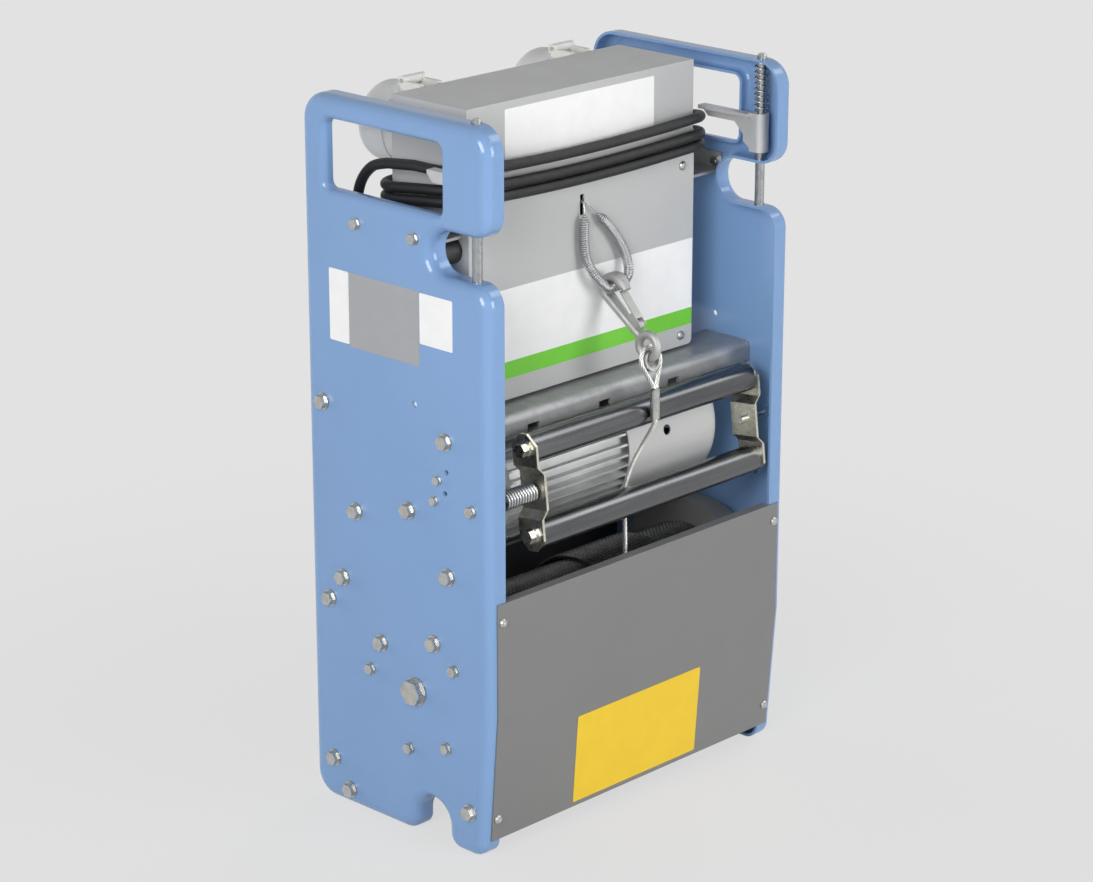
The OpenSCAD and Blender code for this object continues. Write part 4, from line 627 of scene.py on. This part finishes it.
EYE_LEAN = math.radians(13)
EYE_CENTRE = 30.0
EYE_BEND = 14.0
EYE_FINE = 6
EYE_PLAY = 0.2
EYE_NECK = 4
EYE_FROM = 205
EYE_SWEEP = 230
EYE_STEPS = 12
eye_at = rope_high + (0, 0, ROPE_SEAT + FERRULE_L)
eye_half = ROPE_D / 2 + EYE_PLAY
eye_rise = ROPE_D / 2 * math.sin(EYE_LEAN)
eye_plan = [(-eye_half, eye_rise), (-eye_half, EYE_NECK)]
for k in range(EYE_STEPS + 1):
    a = math.radians(EYE_FROM - EYE_SWEEP * k / EYE_STEPS)
    eye_plan.append((EYE_BEND * math.cos(a), EYE_CENTRE + EYE_BEND * math.sin(a)))
eye_plan += [(eye_half, EYE_NECK), (eye_half, eye_rise)]
eye_path = np.array([
    eye_at + (x, z * math.sin(EYE_LEAN), z * math.cos(EYE_LEAN))
    for x, z in smooth_curve(eye_plan, EYE_FINE)
])
verts, faces = laid_rope(eye_path, ROPE_D, FINE)
eye = mesh_piece("rope_loop", verts * MM, faces, "frame", ROPE_BRIGHT, ROUND_SHADE)
mark_groove_shade(eye, len(eye_path), FINE)
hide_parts("rope_eye")


# Springs

def helix_points(radius, pitch, turns, per, wire):
    """A coil round z, with per points in each turn and a straight end of one wire's thickness."""
    points = [
        (radius * math.cos(a), radius * math.sin(a), pitch * a / (2 * math.pi))
        for a in (2 * math.pi * i / per for i in range(int(turns * per) + 1))
    ]
    first = (radius, -wire, 0)
    last = (radius, wire, pitch * turns)
    return np.array([first] + points + [last])


LATCH_WIRE = 1.5
LATCH_SPRING_D = 15.5
LATCH_TURNS = 9
LATCH_ANGLES = 40
LATCH_SIDES = 10
latch_r = (LATCH_SPRING_D - LATCH_WIRE) / 2
for side, sign in (("left", -1), ("right", 1)):
    low, high = box_mm(f"{side}_latch_spring")
    rod_low, rod_high = box_mm(f"{side}_latch_rod")
    rod_mid = (rod_low + rod_high) / 2
    length = high[2] - low[2] - LATCH_WIRE
    points = helix_points(latch_r, length / LATCH_TURNS, LATCH_TURNS, LATCH_ANGLES, LATCH_WIRE)
    points = points * (-sign, 1, 1) + (rod_mid[0], rod_mid[1], low[2] + LATCH_WIRE / 2)
    verts, faces = sweep(points, np.full(LATCH_SIDES, LATCH_WIRE / 2))
    spring = mesh_piece(f"latch_spring_{side}", verts * MM, faces, "frame", SPRING_STEEL)
    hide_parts(f"{side}_latch_spring")
    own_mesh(spring)

PIVOT_WIRE = 3.0
PIVOT_SPRING_D = 20.0
PIVOT_PITCH = 3.9
PIVOT_TURNS = 11
PIVOT_ANGLES = 48
low, high = box_mm("guide_pivot_spring")
points = helix_points((PIVOT_SPRING_D - PIVOT_WIRE) / 2, PIVOT_PITCH, PIVOT_TURNS, PIVOT_ANGLES, PIVOT_WIRE)
points = points[:, [2, 0, 1]] + (low[0] + PIVOT_WIRE / 2, GUIDE_Y, GUIDE_Z)
pivot_spring = curve_piece(
    "pivot_spring", points * MM, PIVOT_WIRE / 2 * MM, "frame", SPRING_STEEL
)
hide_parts("guide_pivot_spring")

HOOK_WIRE = 1.6
HOOK_SPRING_D = 10.6
HOOK_PITCH = 2.3
COIL_START = 0.12
COIL_RISE = 0.03
HOOK_FINE = 170
HOOK_ROUND = 3
SPRING_CLEAR = 1.7
SPRING_RISE = 4
OUTWARD = np.array((0, 1, 0.001))
HOOK_PLAY = 1.2
SLOT_X = -4.0
SLOT_Z = 633.0
BOWL_R = 13.0
BOWL_STOCK = 4.8
EYE_R = 12.2
EYE_STOCK = 4.6
THIMBLE_T = 2.8
HOOK_L = 69.5
HOOK_LEAN = math.radians(42)
thimble_r = EYE_BEND - ROPE_D / 2 - GAP
hook_eye_up = EYE_CENTRE + thimble_r - THIMBLE_T - HOOK_PLAY - EYE_STOCK + EYE_R
hook_at = eye_at + hook_eye_up * np.array((0, math.sin(EYE_LEAN), math.cos(EYE_LEAN)))
hook_axis = np.array((0, math.sin(HOOK_LEAN), math.cos(HOOK_LEAN)))
bowl_at = hook_at + HOOK_L * hook_axis
seat = bowl_at + (BOWL_R - BOWL_STOCK - HOOK_SPRING_D / 2 - GAP) * hook_axis
front_y = front_plate_low[1]
box_y = box_low[1]
spring_y = front_y - HOOK_SPRING_D / 2 - SPRING_CLEAR
spring_z = SLOT_Z + SPRING_RISE
spring_line_points = [
    (SLOT_X - 2, box_y + 7, spring_z), (SLOT_X - 2, front_y - 3, spring_z - 1),
    (SLOT_X - 4, spring_y, SLOT_Z - 11), (SLOT_X - 5, spring_y - 0.5, SLOT_Z - 33),
    (SLOT_X - 2, spring_y - 1.5, SLOT_Z - 56),
    seat + (-24, 4, 16), seat + (-10, 0.3, 0.8), seat, seat + (10, 0.3, 0.6),
    seat + (26, 4, 8), (SLOT_X + 57, spring_y - 3, SLOT_Z - 67), (SLOT_X + 50, spring_y - 1.5, SLOT_Z - 50),
    (SLOT_X + 36, spring_y - 0.5, SLOT_Z - 31), (SLOT_X + 18, spring_y, SLOT_Z - 13),
    (SLOT_X + 2, front_y - 3, spring_z - 1), (SLOT_X + 2, box_y + 7, spring_z),
]
line = smooth_curve(spring_line_points, HOOK_FINE)
travelled = np.concatenate(([0], np.cumsum(np.linalg.norm(np.diff(line, axis=0), axis=1))))
coil_r = (HOOK_SPRING_D - HOOK_WIRE) / 2


def coil_ramp(t):
    """0 on the straight wire at an end, 1 in the full coil, t counted from that end."""
    return min(1, max(0, (t - COIL_START) / COIL_RISE))


hook_points = []
for i, (point, tangent) in enumerate(zip(line, unit_tangents(line))):
    t = i / (len(line) - 1)
    swell = coil_ramp(t) * coil_ramp(1 - t)
    out = unit(OUTWARD - tangent * np.dot(OUTWARD, tangent))
    across = np.cross(tangent, out)
    a = 2 * math.pi * travelled[i] / HOOK_PITCH
    hook_points.append(point + coil_r * swell * (out * math.cos(a) + across * math.sin(a)))
hook_spring = curve_piece(
    "hook_spring_wire", np.array(hook_points) * MM, HOOK_WIRE / 2 * MM,
    "frame", SPRING_STEEL, HOOK_ROUND,
)
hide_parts("hook_spring")


# Bare labels: thin sheets with rounded corners

LABEL_T = 0.22 * MM
CORNER_STEPS = 6


def label(name, centre, across, up, size, material, radius=1.5):
    """A thin sheet on a face: centre on the face, across and up along it, size and radius in millimetres."""
    across = Vector(across).normalized()
    up = Vector(up).normalized()
    out = across.cross(up)
    half_u = size[0] / 2 * MM
    half_v = size[1] / 2 * MM
    r = radius * MM
    outline = []
    for corner, (su, sv) in enumerate(((1, 1), (-1, 1), (-1, -1), (1, -1))):
        for k in range(CORNER_STEPS + 1):
            a = math.radians(90 * corner + 90 / CORNER_STEPS * k)
            outline.append((su * (half_u - r) + r * math.cos(a), sv * (half_v - r) + r * math.sin(a)))
    mesh = bmesh.new()
    place = Vector(centre) * MM
    back = [mesh.verts.new(place + across * u + up * v) for u, v in outline]
    face = mesh.faces.new(back)
    lifted = bmesh.ops.extrude_face_region(mesh, geom=[face])
    moved = [v for v in lifted["geom"] if isinstance(v, bmesh.types.BMVert)]
    bmesh.ops.translate(mesh, verts=moved, vec=out * LABEL_T)
    bmesh.ops.recalc_face_normals(mesh, faces=mesh.faces)
    data = bpy.data.meshes.new(name)
    mesh.to_mesh(data)
    mesh.free()
    return link(bpy.data.objects.new(name, data), "frame", material)


plate_low = box_mm("left_side_plate")[0]
plate_x = plate_low[0]
FORWARD = (0, -1, 0)
UP = (0, 0, 1)
RIGHT = (1, 0, 0)
label("left_label_white", (plate_x, 77.7, 547.5), FORWARD, UP, (28.5, 75), LABEL_WHITE)
label("left_label_silver", (plate_x, 12.7, 546.5), FORWARD, UP, (101, 77), LABEL_SILVER)
label("left_label_square", (plate_x, -61.5, 558), FORWARD, UP, (46, 52), LABEL_WHITE)
label("front_band", (0, front_y, 528), RIGHT, UP, (331, 76), LABEL_WHITE, 0.4)
label("front_stripe", (0, front_y, 481), RIGHT, UP, (331, 18), LABEL_GREEN, 0.4)
label("top_label", (-4, box_y, 722), RIGHT, UP, (218, 54), LABEL_WHITE)

KINK_Z = 155.0
KINK_SINE = 0.07584
COVER_T = 1.5
COVER_SEAT = 0.15
PANEL_X = -0.5
PANEL_Z = 72.5
PANEL_SIZE = (189, 99)
kink_lean = math.asin(KINK_SINE)
edge_y = plate_low[1] - COVER_SEAT + (KINK_Z - PANEL_Z) * math.tan(kink_lean)
panel_centre = (PANEL_X, edge_y - COVER_T / math.cos(kink_lean), PANEL_Z)
panel_up = (0, -math.sin(kink_lean), math.cos(kink_lean))
label("cover_panel", panel_centre, RIGHT, panel_up, PANEL_SIZE, LABEL_YELLOW, 2)


# Finishes of the carried-over nodes, with softened edges

SHADE_ANGLE = 32
BEVEL_ANGLE = 50
FINISHES = {
    "left_side_plate": (BLUE, 0), "right_side_plate": (BLUE, 0),
    "tie_bars": (BAR_STEEL, 0.6), "drum_axle": (BAR_STEEL, 0.6),
    "left_latch_rod": (BAR_STEEL, 0), "right_latch_rod": (BAR_STEEL, 0),
    "left_latch_lever": (LEVER, 0.8), "right_latch_lever": (LEVER, 0.8),
    "bottom_rear_panel": (REAR_SHADE, 0.5), "front_cross_member": (GALVANISED, 0.4),
    "box_brackets": (GALVANISED, 0.5), "contactor_rail": (GALVANISED, 0.3),
    "front_cover": (COVER_GREY, 0.35), "cover_screws": (BOLT_ZINC, 0.3), "back_screws": (BOLT_ZINC, 0.3),
    "box_housing": (BOX_GREY, 0.8), "box_front_plate": (BOX_GREY, 0.5), "box_screws": (BOLT_ZINC, 0.3),
    "contactors": (BLACK_PLASTIC, 0.8), "limit_switch": (BLACK_PLASTIC, 0.8),
    "cable_gland": (BLACK_PLASTIC, 0.6), "power_plug": (BLACK_PLASTIC, 0.6),
    "cooling_fan": (BLACK_PLASTIC, 0.5), "socket_bodies": (WHITE_PLASTIC, 0.6),
    "left_socket_lid": (LID_GREY, 0.6), "right_socket_lid": (LID_GREY, 0.6),
    "lid_hinge_pins": (BOLT_ZINC, 0.2), "guide_tubes": (TUBE_STEEL, 0.6),
    "left_guide_bracket": (YELLOW_ZINC, 0.5), "right_guide_bracket": (YELLOW_ZINC, 0.5),
    "guide_tube_bolts": (BOLT_ZINC, 0.4), "guide_pivot_bolts": (BOLT_ZINC, 0.4),
    "m8_bolts": (BOLT_ZINC, 0.4), "m6_bolts": (BOLT_ZINC, 0.35), "bracket_nuts": (BOLT_ZINC, 0.3),
    "switch_screws": (BOLT_ZINC, 0.3), "axle_bolts": (BOLT_ZINC, 0.7),
    "motor_housing": (MOTOR_ALLOY, 0.4), "motor_fan_cowl": (COWL_WHITE, 0.3),
    "rotor_shaft": (GEAR_STEEL, 0.3), "stage_wheel": (GEAR_STEEL, 0), "pinion_shaft": (GEAR_STEEL, 0.2),
    "drum_gear": (GEAR_STEEL, 0), "shaft_bearings": (GEAR_STEEL, 0.4), "drum_bearings": (GEAR_STEEL, 0.4),
    "gearbox_cover": (GEARBOX_IRON, 0.8), "gearbox_housing": (GEARBOX_IRON, 0.8),
    "axle_flanges": (GEARBOX_IRON, 0.6), "drum": (DRUM_GREY, 0.8),
    "rope_ferrule": (HOOK_ZINC, 0.8), "rope_thimble": (HOOK_ZINC, 0.4),
    "load_hook": (HOOK_CAST, 0), "hook_latch": (HOOK_CAST, 0.2),
}
for name, (material, bevel) in FINISHES.items():
    obj = nodes[name]
    obj.data.materials.clear()
    obj.data.materials.append(material)
    smooth_shade(obj.data, SHADE_ANGLE)
    if bevel:
        soft = obj.modifiers.new("soft_edges", "BEVEL")
        soft.width = bevel * MM
        soft.segments = 2
        soft.limit_method = "ANGLE"
        soft.angle_limit = math.radians(BEVEL_ANGLE)


# Floor, light and background

PALE = linear(226, 226, 226)
FLOOR_SIZE = 12.0
FADE_REACH = (0.35, 1.3)
FADE_SHARE = (0.84, 1)
AMBIENT_HEIGHT = (0.05, 0.8)
AMBIENT_LEVEL = (0.5, 0.02)


def see_through_rays(tree):
    """1 for camera, glossy and transmission rays, 0 for the rest."""
    path = tree.nodes.new("ShaderNodeLightPath")
    first = tree.nodes.new("ShaderNodeMath")
    first.operation = "MAXIMUM"
    tree.links.new(path.outputs["Is Camera Ray"], first.inputs[0])
    tree.links.new(path.outputs["Is Glossy Ray"], first.inputs[1])
    second = tree.nodes.new("ShaderNodeMath")
    second.operation = "MAXIMUM"
    tree.links.new(first.outputs[0], second.inputs[0])
    tree.links.new(path.outputs["Is Transmission Ray"], second.inputs[1])
    return second.outputs[0]


world = bpy.data.worlds.new("studio")
bpy.context.scene.world = world
world.use_nodes = True
sky = world.node_tree
shown = sky.nodes["Background"]
shown.inputs["Color"].default_value = (*PALE, 1)
shown.inputs["Strength"].default_value = 1.0
ambient = sky.nodes.new("ShaderNodeBackground")
ambient.inputs["Color"].default_value = (1, 1, 1, 1)
direction = sky.nodes.new("ShaderNodeTexCoord")
axes = sky.nodes.new("ShaderNodeSeparateXYZ")
sky.links.new(direction.outputs["Generated"], axes.inputs["Vector"])
dim_above = map_range(sky, axes.outputs["Z"], AMBIENT_HEIGHT, AMBIENT_LEVEL)
sky.links.new(dim_above.outputs["Result"], ambient.inputs["Strength"])
choose = sky.nodes.new("ShaderNodeMixShader")
sky.links.new(see_through_rays(sky), choose.inputs["Fac"])
sky.links.new(ambient.outputs[0], choose.inputs[1])
sky.links.new(shown.outputs[0], choose.inputs[2])
sky.links.new(choose.outputs[0], sky.nodes["World Output"].inputs["Surface"])

floor_paint = Paint("floor_pale", roughness=0.9)
floor_paint.colour(floor_paint.noise(0.4, 2), PALE, 0.01)
floor_tree = floor_paint.tree
distance = floor_tree.nodes.new("ShaderNodeVectorMath")
distance.operation = "LENGTH"
floor_tree.links.new(floor_paint.coords, distance.inputs[0])
fade = map_range(floor_tree, distance.outputs["Value"], FADE_REACH, FADE_SHARE)
fade.interpolation_type = "SMOOTHSTEP"
plain = floor_tree.nodes.new("ShaderNodeEmission")
plain.inputs["Color"].default_value = (*PALE, 1)
share = floor_tree.nodes.new("ShaderNodeMath")
share.operation = "MULTIPLY"
floor_tree.links.new(fade.outputs["Result"], share.inputs[0])
floor_tree.links.new(see_through_rays(floor_tree), share.inputs[1])
blend = floor_tree.nodes.new("ShaderNodeMixShader")
floor_tree.links.new(share.outputs[0], blend.inputs["Fac"])
floor_tree.links.new(floor_paint.shader.outputs[0], blend.inputs[1])
floor_tree.links.new(plain.outputs[0], blend.inputs[2])
floor_tree.links.new(blend.outputs[0], floor_tree.nodes["Material Output"].inputs["Surface"])
floor_mesh = bpy.data.meshes.new("floor")
half = FLOOR_SIZE / 2
floor_corners = [(-half, -half, 0), (half, -half, 0), (half, half, 0), (-half, half, 0)]
floor_mesh.from_pydata(floor_corners, [], [(0, 1, 2, 3)])
floor = bpy.data.objects.new("floor", floor_mesh)
floor.data.materials.append(floor_paint.material)
bpy.context.scene.collection.objects.link(floor)

AIM = Vector((0, 0, 0.38))


def softbox(name, place, size, power, diffuse=True, glossy=True):
    """A square lamp aimed at the object, in metres and watts, that may skip diffuse or glossy light."""
    data = bpy.data.lights.new(name, "AREA")
    data.shape = "SQUARE"
    data.size = size
    data.energy = power
    obj = bpy.data.objects.new(name, data)
    obj.visible_diffuse = diffuse
    obj.visible_glossy = glossy
    obj.location = place
    obj.rotation_euler = (Vector(place) - AIM).to_track_quat("Z", "Y").to_euler()
    bpy.context.scene.collection.objects.link(obj)


softbox("key", (-2.4, -1.1, 1.6), 1.3, 52)
softbox("front", (0.8, -3.0, 1.2), 1.5, 49)
softbox("right", (2.7, 0.7, 1.0), 1.4, 40, glossy=False)
softbox("back", (-0.6, 3.0, 0.9), 1.5, 38, glossy=False)
softbox("gleam", (1.7, -1.0, 2.2), 0.9, 8, diffuse=False)

bpy.context.scene.view_settings.view_transform = "Standard"
